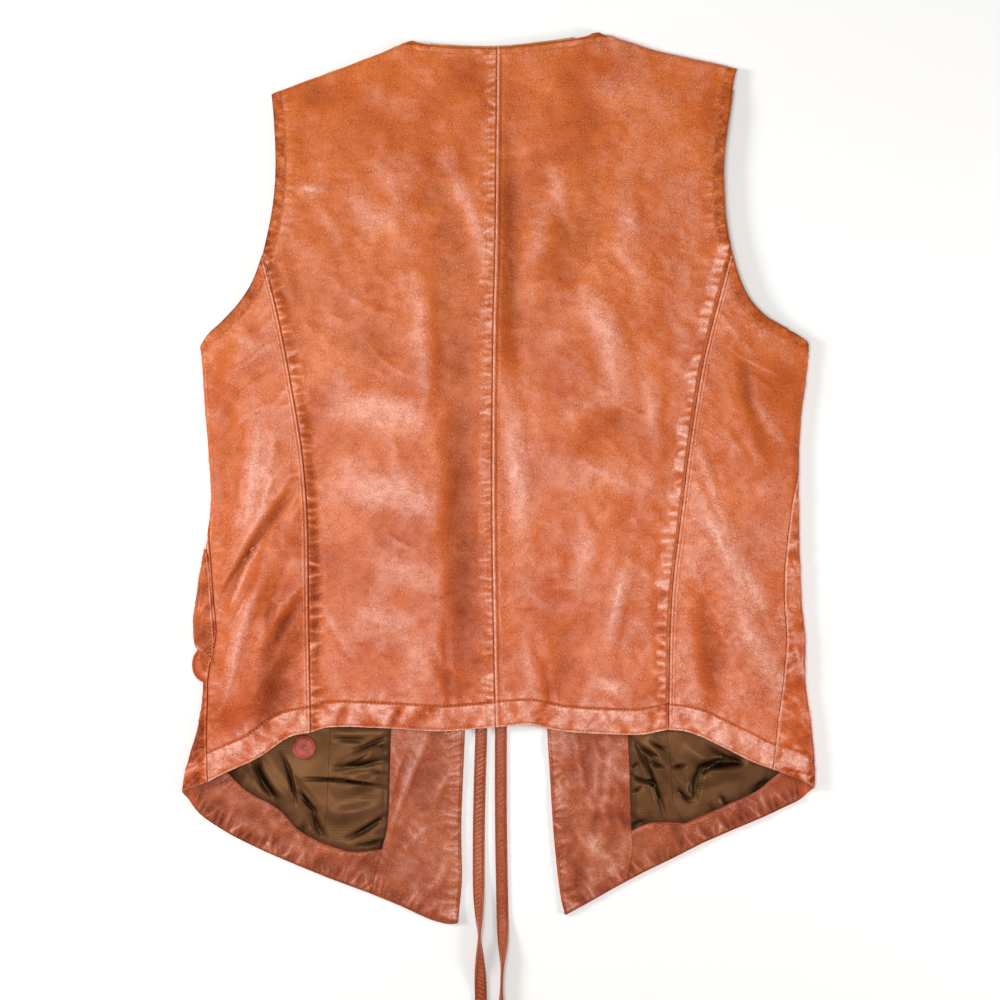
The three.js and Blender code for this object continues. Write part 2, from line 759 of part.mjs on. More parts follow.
// The facing inside a front, along its front edge and its neck edge.
function frontFacing(side) {
  const place = onFront(side);
  const hem = facingHem(side, "front");
  const edge = [...side.frontEdge.slice(1), ...side.neckEdge.slice(1, -1)];
  const corner = hem[hem.length - 1];
  const top = { w: side.neckEdge[side.neckEdge.length - 1].w + FACING_SETBACK, y: FACING_TOP };
  const setBack = [corner, ...edge.map(({ w, y }) => ({ w: w + FACING_SETBACK, y })), top];
  const sheet = patch({
    bottom: path(hem, "w", place),
    top: path([side.facingEdge[side.facingEdge.length - 1], top], "w", place),
    start: path(side.facingEdge, "w", place),
    end: path(setBack, "w", place),
  });
  return wall(side, sheet, evenShares(4), FACING_ROWS, BEHIND_LEATHER, BEHIND_FACING);
}

// The facing along a front's hem, from the side to the seam of the front facing.
function hemFacing(side) {
  const place = onFront(side);
  const hem = facingHem(side, "side");
  const upper = side.liningHem;
  const seam = side.facingEdge.filter(({ y }) => y <= upper[0].y);
  const sheet = patch({
    bottom: path(hem, "w", place),
    top: reversed(path(upper, "w", place)),
    start: path([hem[0], upper[upper.length - 1]], "w", place),
    end: path(seam, "w", place),
  });
  return wall(side, sheet, evenShares(14), evenShares(3), BEHIND_LEATHER, BEHIND_FACING);
}

const LINING_CLEARANCE = 0.6;

// The lining's lower edge, split where the lining's own seam meets it.
function liningHem(side) {
  const meet = side.liningSeam[0];
  const raised = side.liningHem.map(({ w, y }) => ({ w, y: y + LINING_CLEARANCE }));
  const at = raised.findIndex((row) => row.w >= meet.w);
  return [[...raised.slice(0, at), { w: meet.w, y: meet.y + LINING_CLEARANCE }], raised.slice(at)];
}

// The satin lining of a front, in two pieces, from just above the hem facing to well under the back.
function lining(side, part) {
  const place = onFront(side);
  const [innerHem, outerHem] = liningHem(side);
  const seam = [innerHem[innerHem.length - 1], ...side.liningSeam.slice(1)];
  const [facingTop, seamTop, sideTop] = side.liningTop;
  const nearFacing = side.facingEdge.filter(({ y }) => y > innerHem[0].y + 1 && y < facingTop.y);
  const facingSide = [innerHem[0], ...nearFacing, facingTop];
  const outerEnd = outerHem[outerHem.length - 1];
  const sideEdge = [outerEnd, { w: outerEnd.w, y: outerEnd.y + 30 }, sideTop];
  const inner = part === "front";
  const sheet = patch({
    bottom: reversed(path(inner ? innerHem : outerHem, "w", place)),
    top: path(inner ? [seamTop, facingTop] : [sideTop, seamTop], "w", place),
    start: path(inner ? seam : sideEdge, "w", place),
    end: path(inner ? facingSide : seam, "w", place),
  });
  const low = BEHIND_LEATHER + SEAM_GAP;
  const rise = (spread, y) => {
    const w = 2 * foldStart(side, y) + FOLD_LENGTH - spread;
    return foldHeight(LINING_FOLDS, side.sign * w, y);
  };
  const under = (spread, y) => low + rise(spread, y);
  const over = (spread, y) => low + SATIN + rise(spread, y);
  return wall(side, sheet, evenShares(inner ? 7 : 11), evenShares(9), under, over);
}

const FACING_SHOW = 1.3;
const NECK_FACING_DEPTH = 22;

// The narrow facing inside the back of the neck, whose edge shows above the leather. It crosses the centre line,
// so its spread is below zero on the left side.
function neckFacing() {
  const rows = [...LEFT.neckline].reverse().map(({ w, y }) => ({ x: -w, y }));
  rows.push(...RIGHT.neckline.slice(1).map(({ w, y }) => ({ x: w, y })));
  const acrossCentre = (_, x, y, depth) => atDepth(x < 0 ? LEFT : RIGHT, Math.abs(x), y, depth);
  const edge = (raise) => trimmed(path(rows.map(({ x, y }) => ({ x, y: y + raise })), "x", onBack(RIGHT)), 0.06);
  const [low, high] = [edge(-NECK_FACING_DEPTH), edge(FACING_SHOW)];
  const sheet = patch({
    bottom: low,
    top: high,
    start: (t) => low(0).lerp(high(0), t),
    end: (t) => low(1).lerp(high(1), t),
  });
  const back = BEHIND_BACK + FACING_LEATHER;
  return wall(RIGHT, sheet, evenShares(14), evenShares(2), BEHIND_BACK, back, acrossCentre);
}

const ARMHOLE_FACING_DEPTH = 18;

// The facing inside the right armhole, whose edge shows outside the leather.
function armholeFacing(side) {
  const upper = side.armholeUpper.slice(1, -1).reverse();
  const rows = [...upper, ...side.armholeLower].map(({ w, y }) => new THREE.Vector3(w, y, 0));
  const curve = new THREE.CatmullRomCurve3(rows, false, "centripetal");
  const beside = (distance) => (t) => {
    const point = curve.getPointAt(t);
    const along = curve.getTangentAt(t);
    return new THREE.Vector2(point.x - along.y * distance, point.y + along.x * distance);
  };
  const [outer, inner] = [FACING_SHOW, -ARMHOLE_FACING_DEPTH].map((distance) => trimmed(beside(distance), 0.035));
  const sheet = (u, v) => inner(1 - v).lerp(outer(1 - v), u);
  return wall(side, sheet, evenShares(2), evenShares(18), BEHIND_BACK, BEHIND_BACK + FACING_LEATHER);
}

// The pocket flap at the left side: its pointed corner shows beside the side seam, the rest is under the front.
const FLAP = {
  seamEdge: [
    { y: -146.4, inset: 11.6 },
    { y: -136, inset: 15.4 },
    { y: -122, inset: 17.6 },
    { y: -97, inset: 14 },
    { y: -65, inset: 6.4 },
    { y: -56, inset: 4 },
  ],
  lowerEdge: [
    { y: -146.4, inset: 11.6 },
    { y: -133, inset: 1.5 },
    { y: -124, inset: -12 },
    { y: -121, inset: -44 },
  ],
  sewnEdge: [
    { y: -56, inset: 4 },
    { y: -57, inset: -44 },
  ],
  innerEdge: [
    { y: -121, inset: -44 },
    { y: -57, inset: -44 },
  ],
};

function pocketFlap(side) {
  const place = byInset(side);
  const sheet = patch({
    bottom: path(FLAP.lowerEdge, "inset", place),
    top: path(FLAP.sewnEdge, "inset", place),
    start: path(FLAP.seamEdge, "inset", place),
    end: path(FLAP.innerEdge, "inset", place),
  });
  const columns = shares({ steps: 12, end: 0.5 }, { steps: 3, end: 1 });
  return wall(side, sheet, columns, evenShares(8), -FLAP_GAP - FLAP_LEATHER, -FLAP_GAP);
}

// The rounded lower corner of the patch pocket, flat on the floor under the front and standing out past its fold.
const POCKET_CORNER = [
  { x: -241.8, y: -136.4 },
  { x: -245.4, y: -143 },
  { x: -246.2, y: -150 },
  { x: -244.6, y: -156.8 },
  { x: -240, y: -161.8 },
  { x: -232, y: -164.8 },
];
const POCKET_INNER_END = -200;
const POCKET_BOTTOM = -166;

function pocketCorner() {
  const outline = new THREE.Shape();
  const [first, ...rest] = POCKET_CORNER;
  outline.moveTo(POCKET_INNER_END, first.y);
  outline.lineTo(POCKET_INNER_END, POCKET_BOTTOM);
  outline.lineTo(rest[rest.length - 1].x + 6, POCKET_BOTTOM);
  const points = [first, ...rest].reverse().map(({ x, y }) => new THREE.Vector2(x, y));
  outline.splineThru(points);
  outline.closePath();
  return new THREE.ExtrudeGeometry(outline, { depth: FLAP_LEATHER, bevelEnabled: false, curveSegments: 14 });
}

// The spare button sewn to the left lining: a moulded disc with a raised rim and a dimple over its shank.
const BUTTON = { x: -156, y: -214.6, seat: 3.4, radius: 9.8, thickness: 2.6, rim: 1.6, shank: 2.2 };

function spareButton() {
  const { radius, thickness, rim, shank } = BUTTON;
  const profile = [
    [0, 0],
    [shank, 0],
    [shank, 0.5],
    [radius - 1, 0.5],
    [radius, 1.2],
    [radius - 0.3, thickness - 0.3],
    [radius - rim / 2, thickness],
    [radius - rim, thickness - 0.2],
    [radius - 2 * rim, thickness - 0.8],
    [shank, thickness - 0.7],
    [shank / 2, thickness - 1.2],
    [0, thickness - 1.3],
  ];
  return new THREE.LatheGeometry(profile.map(([r, h]) => new THREE.Vector2(r, h)), 28).rotateX(Math.PI / 2);
}

const TIE_STEP = 18;
const TIE_EDGE = 0.6;

// A tie: the strap's rounded section pulled along its route, rolling by the turn in the table.
function tie(route) {
  const [half, thin] = [TIE_WIDTH / 2, TIE_THICKNESS / 2];
  const corners = [
    [half, -TIE_EDGE / 2],
    [half, TIE_EDGE / 2],
    [half - TIE_EDGE, thin],
    [TIE_EDGE - half, thin],
    [-half, TIE_EDGE / 2],
    [-half, -TIE_EDGE / 2],
    [TIE_EDGE - half, -thin],
    [half - TIE_EDGE, -thin],
  ];
  const section = new THREE.Shape(corners.map(([x, y]) => new THREE.Vector2(x, y)));
  const curve = new THREE.CatmullRomCurve3(route.map(({ x, y }) => new THREE.Vector3(x, y, 0)), false, "centripetal");
  const steps = Math.round(curve.getLength() / TIE_STEP);
  const geometry = new THREE.ExtrudeGeometry(section, { depth: 1, steps, bevelEnabled: false });
  const position = geometry.getAttribute("position");
  const corner = new THREE.Vector3();
  for (let i = 0; i < position.count; i++) {
    corner.fromBufferAttribute(position, i);
    const centre = curve.getPointAt(corner.z);
    const along = curve.getTangentAt(corner.z);
    const roll = THREE.MathUtils.degToRad(valueAt(route, "turn", centre.y));
    const [lean, rise] = [Math.cos(roll), Math.sin(roll)];
    const low = valueAt(route, "low", centre.y);
    const across = corner.x * lean - corner.y * rise;
    centre.x -= along.y * across;
    centre.y += along.x * across;
    centre.z = low + half * Math.abs(rise) + thin * Math.abs(lean) + corner.x * rise + corner.y * lean;
    position.setXYZ(i, centre.x, centre.y, centre.z);
  }
  geometry.computeVertexNormals();
  return geometry;
}

for (const [name, side] of [["left", LEFT], ["right", RIGHT]]) {
  add(`back_${name}`, backPanel(side), "leather");
  add(`side_${name}`, sidePanel(side), "leather");
  add(`front_${name}`, frontPanel(side), "leather");
  add(`facing_${name}`, frontFacing(side), "facing");
  add(`hem_facing_${name}`, hemFacing(side), "facing");
  add(`lining_${name}_front`, lining(side, "front"), "satin");
  add(`lining_${name}_side`, lining(side, "side"), "satin");
}
add("neck_facing", neckFacing(), "edge");
add("armhole_facing_right", armholeFacing(RIGHT), "edge");
add("flap_left", pocketFlap(LEFT), "leather");
add("pocket_left", pocketCorner(), "leather");
add("spare_button", spareButton(), "button").position.set(BUTTON.x, BUTTON.y, BUTTON.seat);
add("tie_left", tie(LEFT_TIE), "leather");
add("tie_right", tie(RIGHT_TIE), "leather");

export default vest;
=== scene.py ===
# A tan leather vest, laid flat on its fronts with its back up.
# X runs across the vest, Y up towards the neck and Z up from the floor. Tables are in millimetres.
import json
import math

import bpy
import numpy as np
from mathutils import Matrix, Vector

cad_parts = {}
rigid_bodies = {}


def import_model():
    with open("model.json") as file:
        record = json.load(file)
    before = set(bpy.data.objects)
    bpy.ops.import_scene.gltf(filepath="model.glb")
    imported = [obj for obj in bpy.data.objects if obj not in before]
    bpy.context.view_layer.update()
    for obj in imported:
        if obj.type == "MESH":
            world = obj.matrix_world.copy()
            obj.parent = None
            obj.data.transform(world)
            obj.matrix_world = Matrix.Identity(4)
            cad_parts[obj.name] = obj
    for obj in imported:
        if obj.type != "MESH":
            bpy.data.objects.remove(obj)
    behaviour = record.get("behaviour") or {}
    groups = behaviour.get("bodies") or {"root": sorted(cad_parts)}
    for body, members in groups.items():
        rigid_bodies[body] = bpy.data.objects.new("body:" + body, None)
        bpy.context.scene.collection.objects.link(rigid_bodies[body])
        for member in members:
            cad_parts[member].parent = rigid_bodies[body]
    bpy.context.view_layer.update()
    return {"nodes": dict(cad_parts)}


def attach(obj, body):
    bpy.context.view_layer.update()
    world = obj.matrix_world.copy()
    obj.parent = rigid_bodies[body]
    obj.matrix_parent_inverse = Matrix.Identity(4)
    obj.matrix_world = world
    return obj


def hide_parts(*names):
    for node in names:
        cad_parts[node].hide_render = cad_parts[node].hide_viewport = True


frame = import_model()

# Camera. It looks straight down at the middle of the view, 0.8 m across at the height of the leather.
VIEW_WIDTH = 0.8
VIEW_MIDDLE = (0.0008, -0.0168)
LEATHER_LEVEL = 0.005
camera_data = bpy.data.cameras.new("camera")
camera_data.lens = 85
camera_data.sensor_width = 36
camera = bpy.data.objects.new("camera", camera_data)
camera.location = (*VIEW_MIDDLE, LEATHER_LEVEL + VIEW_WIDTH * camera_data.lens / camera_data.sensor_width)
bpy.context.scene.collection.objects.link(camera)
bpy.context.scene.camera = camera

# Ties. Two narrow straps of the same leather, folded over and stitched along both edges. Each is sewn to a
# front facing under the back and comes out below the hem, where it lies on the floor and rolls over towards
# its cut end.
MM = 0.001
TIE_WIDTH = 9.6
TIE_THICKNESS = 2
TIE_RING_STEP = 1.0
TIE_SEAM = 3.4
TIE_SEAM_DEPTH = 0.72
TIE_PUCKERS = {"left": 0.17, "right": 0.06}
TIE_PUCKER_PITCH = 3.6
# Rows from the sewn end: height up the vest, place across, lowest point over the floor, roll in degrees.
TIES = {
    "left": [
        (12, -28.6, 3, 0), (0, -28.2, 3, 0), (-18, -26, 3, 0), (-40, -22.4, 3, 0), (-64, -18.6, 3, 0),
        (-90, -16, 1.2, 0), (-120, -14.6, 0.1, 0), (-160, -14, 0.1, 0), (-200, -14.2, 0.1, 0),
        (-240, -15.4, 0.1, 0), (-280, -16.2, 0.1, 0), (-320, -16.4, 0.1, 12), (-345, -16.2, 0.1, 48),
        (-366, -15.8, 0.1, 90), (-386, -15.4, 0.1, 132), (-406, -14.8, 0.1, 172), (-426, -14.4, 0.1, 180),
        (-446, -14.2, 0.1, 180),
    ],
    "right": [
        (12, 31.6, 3, 0), (0, 31, 3, 0), (-18, 27.8, 3, 0), (-38, 22.6, 3, 0), (-62, 16.6, 1.4, 0),
        (-90, 11, 0.1, 0), (-125, 6, 0.1, 0), (-160, 2.8, 0.1, 0), (-200, 1.6, 0.1, 0), (-240, 1.4, 0.1, 0),
        (-280, 1.6, 0.1, 0), (-320, 2.2, 0.1, 0), (-350, 2.8, 0.1, 4), (-370, 3, 0.1, 35),
        (-388, 2.6, 0.1, 80), (-406, 2, 0.1, 90), (-426, 1.6, 0.1, 60), (-448, 1.4, 0.1, 12),
    ],
}
# Half of the strap's section, from its edge to its middle: distance from the middle, height. The dip is the
# seam.
TIE_SECTION = [
    (4.8, 0), (4.68, 0.52), (4.3, 0.86), (3.8, 0.94), (3.4, 0.66), (3.0, 0.9), (2.2, 1.0), (1.1, 1.0),
    (0, 1.0),
]


def value_at(rows, y, column=1):
    """Reads a column of a table at height y, on a smooth curve through its rows."""
    table = np.array(sorted(rows), dtype=float)
    heights, values = table[:, 0], table[:, column]
    low = np.maximum(np.arange(len(table)) - 1, 0)
    high = np.minimum(np.arange(len(table)) + 1, len(table) - 1)
    slopes = (values[high] - values[low]) / (heights[high] - heights[low])
    y = np.clip(y, heights[0], heights[-1])
    i = np.clip(np.searchsorted(heights, y, side="right") - 1, 0, len(table) - 2)
    span = heights[i + 1] - heights[i]
    t = (y - heights[i]) / span
    rise = values[i + 1] - values[i]
    tail = t * t * (t - 1) * slopes[i + 1] * span
    return values[i] + t * t * (3 - 2 * t) * rise + t * (t - 1) ** 2 * slopes[i] * span + tail


def smooth_line(points, step=0.5):
    """Samples a smooth curve through points, about step apart along its length."""
    p = np.array(points, dtype=float)
    p = np.vstack([2 * p[0] - p[1], p, 2 * p[-1] - p[-2]])
    samples = []
    for a, b, c, d in zip(p[:-3], p[1:-2], p[2:-1], p[3:]):
        before, across, after = (math.sqrt(math.dist(m, n)) for m, n in ((a, b), (b, c), (c, d)))
        leave = ((b - a) / before - (c - a) / (before + across) + (c - b) / across) * across
        arrive = ((c - b) / across - (d - b) / (across + after) + (d - c) / after) * across
        t = np.linspace(0, 1, max(4, int(math.dist(b, c) / step)), endpoint=False)[:, None]
        bend = (t - 2 * t**2 + t**3) * leave + (t**3 - t**2) * arrive
        samples.append(b + (c - b) * (3 * t**2 - 2 * t**3) + bend)
    return np.vstack([*samples, p[-2:-1]])


def along_line(line, t):
    """Points at shares t of a line's length."""
    length = np.concatenate([[0], np.cumsum(np.linalg.norm(np.diff(line, axis=0), axis=1))])
    at = np.clip(t, 0, 1) * length[-1]
    return np.stack([np.interp(at, length, column) for column in line.T], axis=-1)


def linear(hex_colour):
    """An sRGB hex colour as the linear numbers that a shader takes."""
    parts = [int(hex_colour[i : i + 2], 16) / 255 for i in (1, 3, 5)]
    return [c / 12.92 if c <= 0.04045 else ((c + 0.055) / 1.055) ** 2.4 for c in parts] + [1.0]


def set_inputs(tree, node, inputs):
    """Gives a node's inputs, by name or in their order, a value or a link from a socket."""
    for key, value in inputs.items() if isinstance(inputs, dict) else enumerate(inputs):
        if isinstance(value, bpy.types.NodeSocket):
            tree.links.new(value, node.inputs[key])
        else:
            node.inputs[key].default_value = value


def add_node(tree, kind, inputs=(), output=0, stops=(), **settings):
    """Adds a node with its settings, inputs and ramp stops, and gives back one of its outputs."""
    node = tree.nodes.new(kind)
    for name, value in settings.items():
        setattr(node, name, value)
    set_inputs(tree, node, inputs)
    for extra in stops[2:]:
        node.color_ramp.elements.new(0.5)
    for element, (place, colour) in zip(node.color_ramp.elements if stops else (), stops):
        element.position = place
        element.color = linear(colour)
    return node.outputs[output] if node.outputs else node


def new_material(name):
    """An empty material, with its node tree, its surface and the piece's own coordinates."""
    material = bpy.data.materials.new(name)
    material.use_nodes = True
    tree = material.node_tree
    place = add_node(tree, "ShaderNodeTexCoord", output="Object")
    return material, tree, tree.nodes["Principled BSDF"], place


# Drum-dyed nappa: smooth aniline leather, dyed through and lightly waxed. The dye has settled unevenly, so
# its colour is cloudy. Over it goes painted light: a painted highlight on what stands up, partly rubbed wear,
# and painted shade in the troughs, the wrinkles and the stitched seams. An attribute of each piece gives all
# but the wrinkles, from -1 for the palest to 1 for the darkest. The real wrinkles are about 1.5 mm apart,
# drawn 2.6 mm apart here, and the real grain is 0.4 mm, drawn 1.3 mm, so that they show.
CLOUD_SIZE = 0.055
MOTTLE_SIZE = 0.009
CRUMPLE_SIZE = 0.0042
WRINKLE_SIZE = 0.0026
WRINKLE_BEND = (0.0022, 0.0022, 0.0022)
# Painted shade in the wrinkle lines.
WRINKLE_PAINTED_SHADE = "#d6ae94"
GRAIN_SIZE = 0.0013
GRAIN_TINT = "#d8b09a"


def dyed_leather(name, clouds, low_tint, painted_shade_tint, painted_highlight, roughness=0.38, wax=0.26):
    material, tree, surface, place = new_material(name)
    wear_and_painted_light = add_node(tree, "ShaderNodeAttribute", output="Fac", attribute_name="wear_and_painted_light")
    height = add_node(tree, "ShaderNodeSeparateXYZ", (place,), "Y")
    cloud, mottle, crumple, grain = (
        add_node(
            tree,
            "ShaderNodeTexNoise",
            {"Vector": place, "Scale": 1 / size, "Detail": detail, "Roughness": rough, "Distortion": bend},
            "Fac",
        )
        for size, detail, rough, bend in (
            (CLOUD_SIZE, 3, 0.5, 0.3), (MOTTLE_SIZE, 5, 0.6, 0),
            (CRUMPLE_SIZE, 3, 0.6, 0), (GRAIN_SIZE, 2, 0.6, 0),
        )
    )
    # Each row turns a value between two limits into another range: rows of value, from, from, to, to.
    low, pale, grit, patchy, dips, deep, rough, polish = (
        add_node(tree, "ShaderNodeMapRange", row)
        for row in (
            (height, 0.2, -0.24, 0, 0.8), (wear_and_painted_light, 0, -1, 0, 1), (crumple, 0.38, 0.6, 0.6, 1),
            (mottle, 0.38, 0.62, 0, 1), (grain, 0.6, 0.34, 0, 0.55), (wear_and_painted_light, 0, 1, 0, 1),
            (mottle, 0.3, 0.7, roughness - 0.08, roughness + 0.1), (wear_and_painted_light, 0.7, -0.7, 0, 1.45 * wax),
        )
    )
    broken = add_node(tree, "ShaderNodeMath", (pale, grit), operation="MULTIPLY")
    clouded = crumple.node.outputs["Color"]
    bent = add_node(tree, "ShaderNodeVectorMath", (clouded, WRINKLE_BEND, place), operation="MULTIPLY_ADD")
    cells = {"Vector": bent, "Scale": 1 / WRINKLE_SIZE}
    apart = add_node(tree, "ShaderNodeTexVoronoi", cells, "Distance", feature="DISTANCE_TO_EDGE")
    sunk = add_node(tree, "ShaderNodeMapRange", (apart, 0, 0.2, 0.75, 0))
    wrinkle = add_node(tree, "ShaderNodeMath", (sunk, patchy), operation="MULTIPLY")
    mixed = add_node(tree, "ShaderNodeMix", {"Factor": 0.3, "A": cloud, "B": mottle}, data_type="FLOAT")
    colour = add_node(tree, "ShaderNodeValToRGB", (mixed,), "Color", clouds)
    # Painted light over the dye: a painted highlight where the attribute is below zero, painted shade in the
    # wrinkle lines, and painted shade in the seams and troughs where the attribute is above zero.
    for blend, share, tint in (
        ("MULTIPLY", low, low_tint), ("MIX", broken, painted_highlight), ("MULTIPLY", wrinkle, WRINKLE_PAINTED_SHADE),
        ("MULTIPLY", dips, GRAIN_TINT), ("MULTIPLY", deep, painted_shade_tint),
    ):
        layers = {0: share, 6: colour, 7: linear(tint)}
        colour = add_node(tree, "ShaderNodeMix", layers, 2, data_type="RGBA", blend_type=blend)
    normal = add_node(tree, "ShaderNodeBump", {"Height": crumple, "Strength": 0.55, "Distance": 0.0008})
    lines = {"Height": wrinkle, "Strength": 0.8, "Distance": 0.0004, "Normal": normal}
    normal = add_node(tree, "ShaderNodeBump", lines, invert=True)
    pores = {"Height": grain, "Strength": 0.55, "Distance": 0.0003, "Normal": normal}
    normal = add_node(tree, "ShaderNodeBump", pores)
    set_inputs(tree, surface, {"Base Color": colour, "Roughness": rough, "Normal": normal, "IOR": 1.5})
    set_inputs(tree, surface, {"Specular IOR Level": 0.25, "Specular Tint": linear("#ffe0cc")})
    set_inputs(tree, surface, {"Coat Weight": polish, "Coat Roughness": 0.24})
    return material


tan_leather = dyed_leather(
    "drum_dyed_nappa",
    [(0.34, "#c0591f"), (0.47, "#cb6729"), (0.58, "#d57234"), (0.7, "#de8044")],
    # The tint towards the hem, the colour of painted shade, and the colour of painted highlights.
    "#fce2ff", "#a07c4c", "#f4b6a2",
)
# The same leather without its wax finish, redder and duller, as the ties and the facings are left.
facing_leather = dyed_leather(
    "matt_nappa",
    [(0.34, "#9c4a2a"), (0.47, "#ae5a34"), (0.58, "#b86840"), (0.7, "#c07650")],
    # The tint towards the hem, the colour of painted shade, and the colour of painted highlights.
    "#ffeef4", "#8a6c70", "#e4a692", 0.42, 0.25,
)


def add_piece(name, node, points, faces, wear_and_painted_light, material):
    """A closed mesh from points in millimetres, with the wear and painted light at each, in place of a node
    of the frame.
    """
    mesh = bpy.data.meshes.new(name)
    mesh.from_pydata((np.asarray(points) * MM).tolist(), [], faces)
    mesh.polygons.foreach_set("use_smooth", [True] * len(mesh.polygons))
    mesh.set_sharp_from_angle(angle=math.radians(60))
    mesh.materials.append(material)
    wear = mesh.attributes.new("wear_and_painted_light", "FLOAT", "POINT")
    wear.data.foreach_set("value", np.asarray(wear_and_painted_light, dtype=np.float32))
    piece = bpy.data.objects.new(name, mesh)
    bpy.context.scene.collection.objects.link(piece)
    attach(piece, "root")
    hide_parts(node)
    return piece


def on_strap(route, line, t, across, up):
    """Points of a strap, by share of its length, place across it and height over its middle."""
    centre = along_line(line, t)
    ahead = along_line(line, np.clip(t + 0.001, 0, 1)) - along_line(line, np.clip(t - 0.001, 0, 1))
    ahead /= np.linalg.norm(ahead, axis=-1, keepdims=True)
    roll = np.radians(value_at(route, centre[..., 1], 3))
    lean, rise = np.cos(roll), np.sin(roll)
    sideways = across * lean - up * rise
    low = value_at(route, centre[..., 1], 2)
    z = low + TIE_WIDTH / 2 * np.abs(rise) + TIE_THICKNESS / 2 * np.abs(lean) + across * rise + up * lean
    x, y = centre[..., 0] - ahead[..., 1] * sideways, centre[..., 1] + ahead[..., 0] * sideways
    return np.stack([x, y, z], axis=-1)


half_top = np.array(TIE_SECTION)
top = np.vstack([half_top, half_top[-2::-1] * (-1, 1)])
ring = np.vstack([top, top[-2:0:-1] * (1, -1)])
wide = len(ring)
strap_stitches = []
for name, route in TIES.items():
    line = smooth_line([(x, y) for y, x, _, _ in route])
    length = float(np.linalg.norm(np.diff(line, axis=0), axis=1).sum())
    rings = int(length / TIE_RING_STEP)
    t = np.linspace(0, 1, rings)[:, None]
    rng = np.random.default_rng(len(name))
    drift = np.interp(t * length, np.arange(0, 480, 12), rng.uniform(-0.9, 0.9, 40))
    slanted = t * length + 0.55 * ring[:, 0] + drift
    pull = np.clip(1 - np.abs(ring[:, 0]) / TIE_SEAM, 0, 1) ** 0.5 * np.sign(ring[:, 1])
    strength = np.interp(t * length, np.arange(0, 480, 20), rng.uniform(0.25, 1, 24))
    pucker = TIE_PUCKERS[name] * strength * pull * np.sin(2 * math.pi * slanted / TIE_PUCKER_PITCH)
    points = on_strap(route, line, t, ring[:, 0] + 0 * t, ring[:, 1] + pucker)
    points[..., 2] = np.maximum(points[..., 2], 0)
    first = np.arange(rings - 1)[:, None] * wide + np.arange(wide)
    after = np.arange(rings - 1)[:, None] * wide + (np.arange(wide) + 1) % wide
    sides = np.stack([first, after, after + wide, first + wide], axis=-1).reshape(-1, 4).tolist()
    caps = [list(range(wide))[::-1], [(rings - 1) * wide + i for i in range(wide)]]
    # Painted shade along the seams of the strap and painted highlights on the tops of its puckers.
    seam_line = np.exp(-(((np.abs(ring[:, 0]) - TIE_SEAM) / 0.45) ** 2)) + 0 * t
    wear_and_painted_light = np.clip(0.05 + seam_line * 0.6 - 3.4 * pucker, -1, 1).ravel()
    points = points.reshape(-1, 3)
    tie = add_piece(name + "_tie", "tie_" + name, points, sides + caps, wear_and_painted_light, facing_leather)
    centre = on_strap(route, line, np.linspace(0, 1, 40), 0, 0) * MM
    round(float(np.linalg.norm(np.diff(centre, axis=0), axis=1).sum()), 3)
    for edge in (-TIE_SEAM, TIE_SEAM):
        for up in (-TIE_SEAM_DEPTH, TIE_SEAM_DEPTH):
            strap_stitches.append(on_strap(route, line, np.linspace(0, 1, 240), edge, up))

# Back panels. Two long panels of nappa meet in the centre back seam. Each runs from the hem over the
# shoulder fold, with the princess seam and the armhole on its outer side. They are cut on the flat and
# pressed open at the seams.
LEATHER = 1.3
SEAM_GAP = 0.3
FOLD_RADIUS = 4.5
FOLD_LENGTH = math.pi * FOLD_RADIUS
SHOULDER_RADIUS = 3.6
SHOULDER_EASE = 60
BACK_HEIGHT = 7.2
PUFF = {"side": 2.2, "hem": 1.6, "centre": 0.78, "reach": 0.22}
POCKET_LIFT = {"height": 1.9, "top": -24, "bottom": -198, "ease": 32, "from": 150, "to": 196}
CENTRE_SEAM = [(345.2, -1.6), (183, -3.2), (119, -4.8), (-30, -5.6), (-137, -4.0), (-198.2, -2.7)]
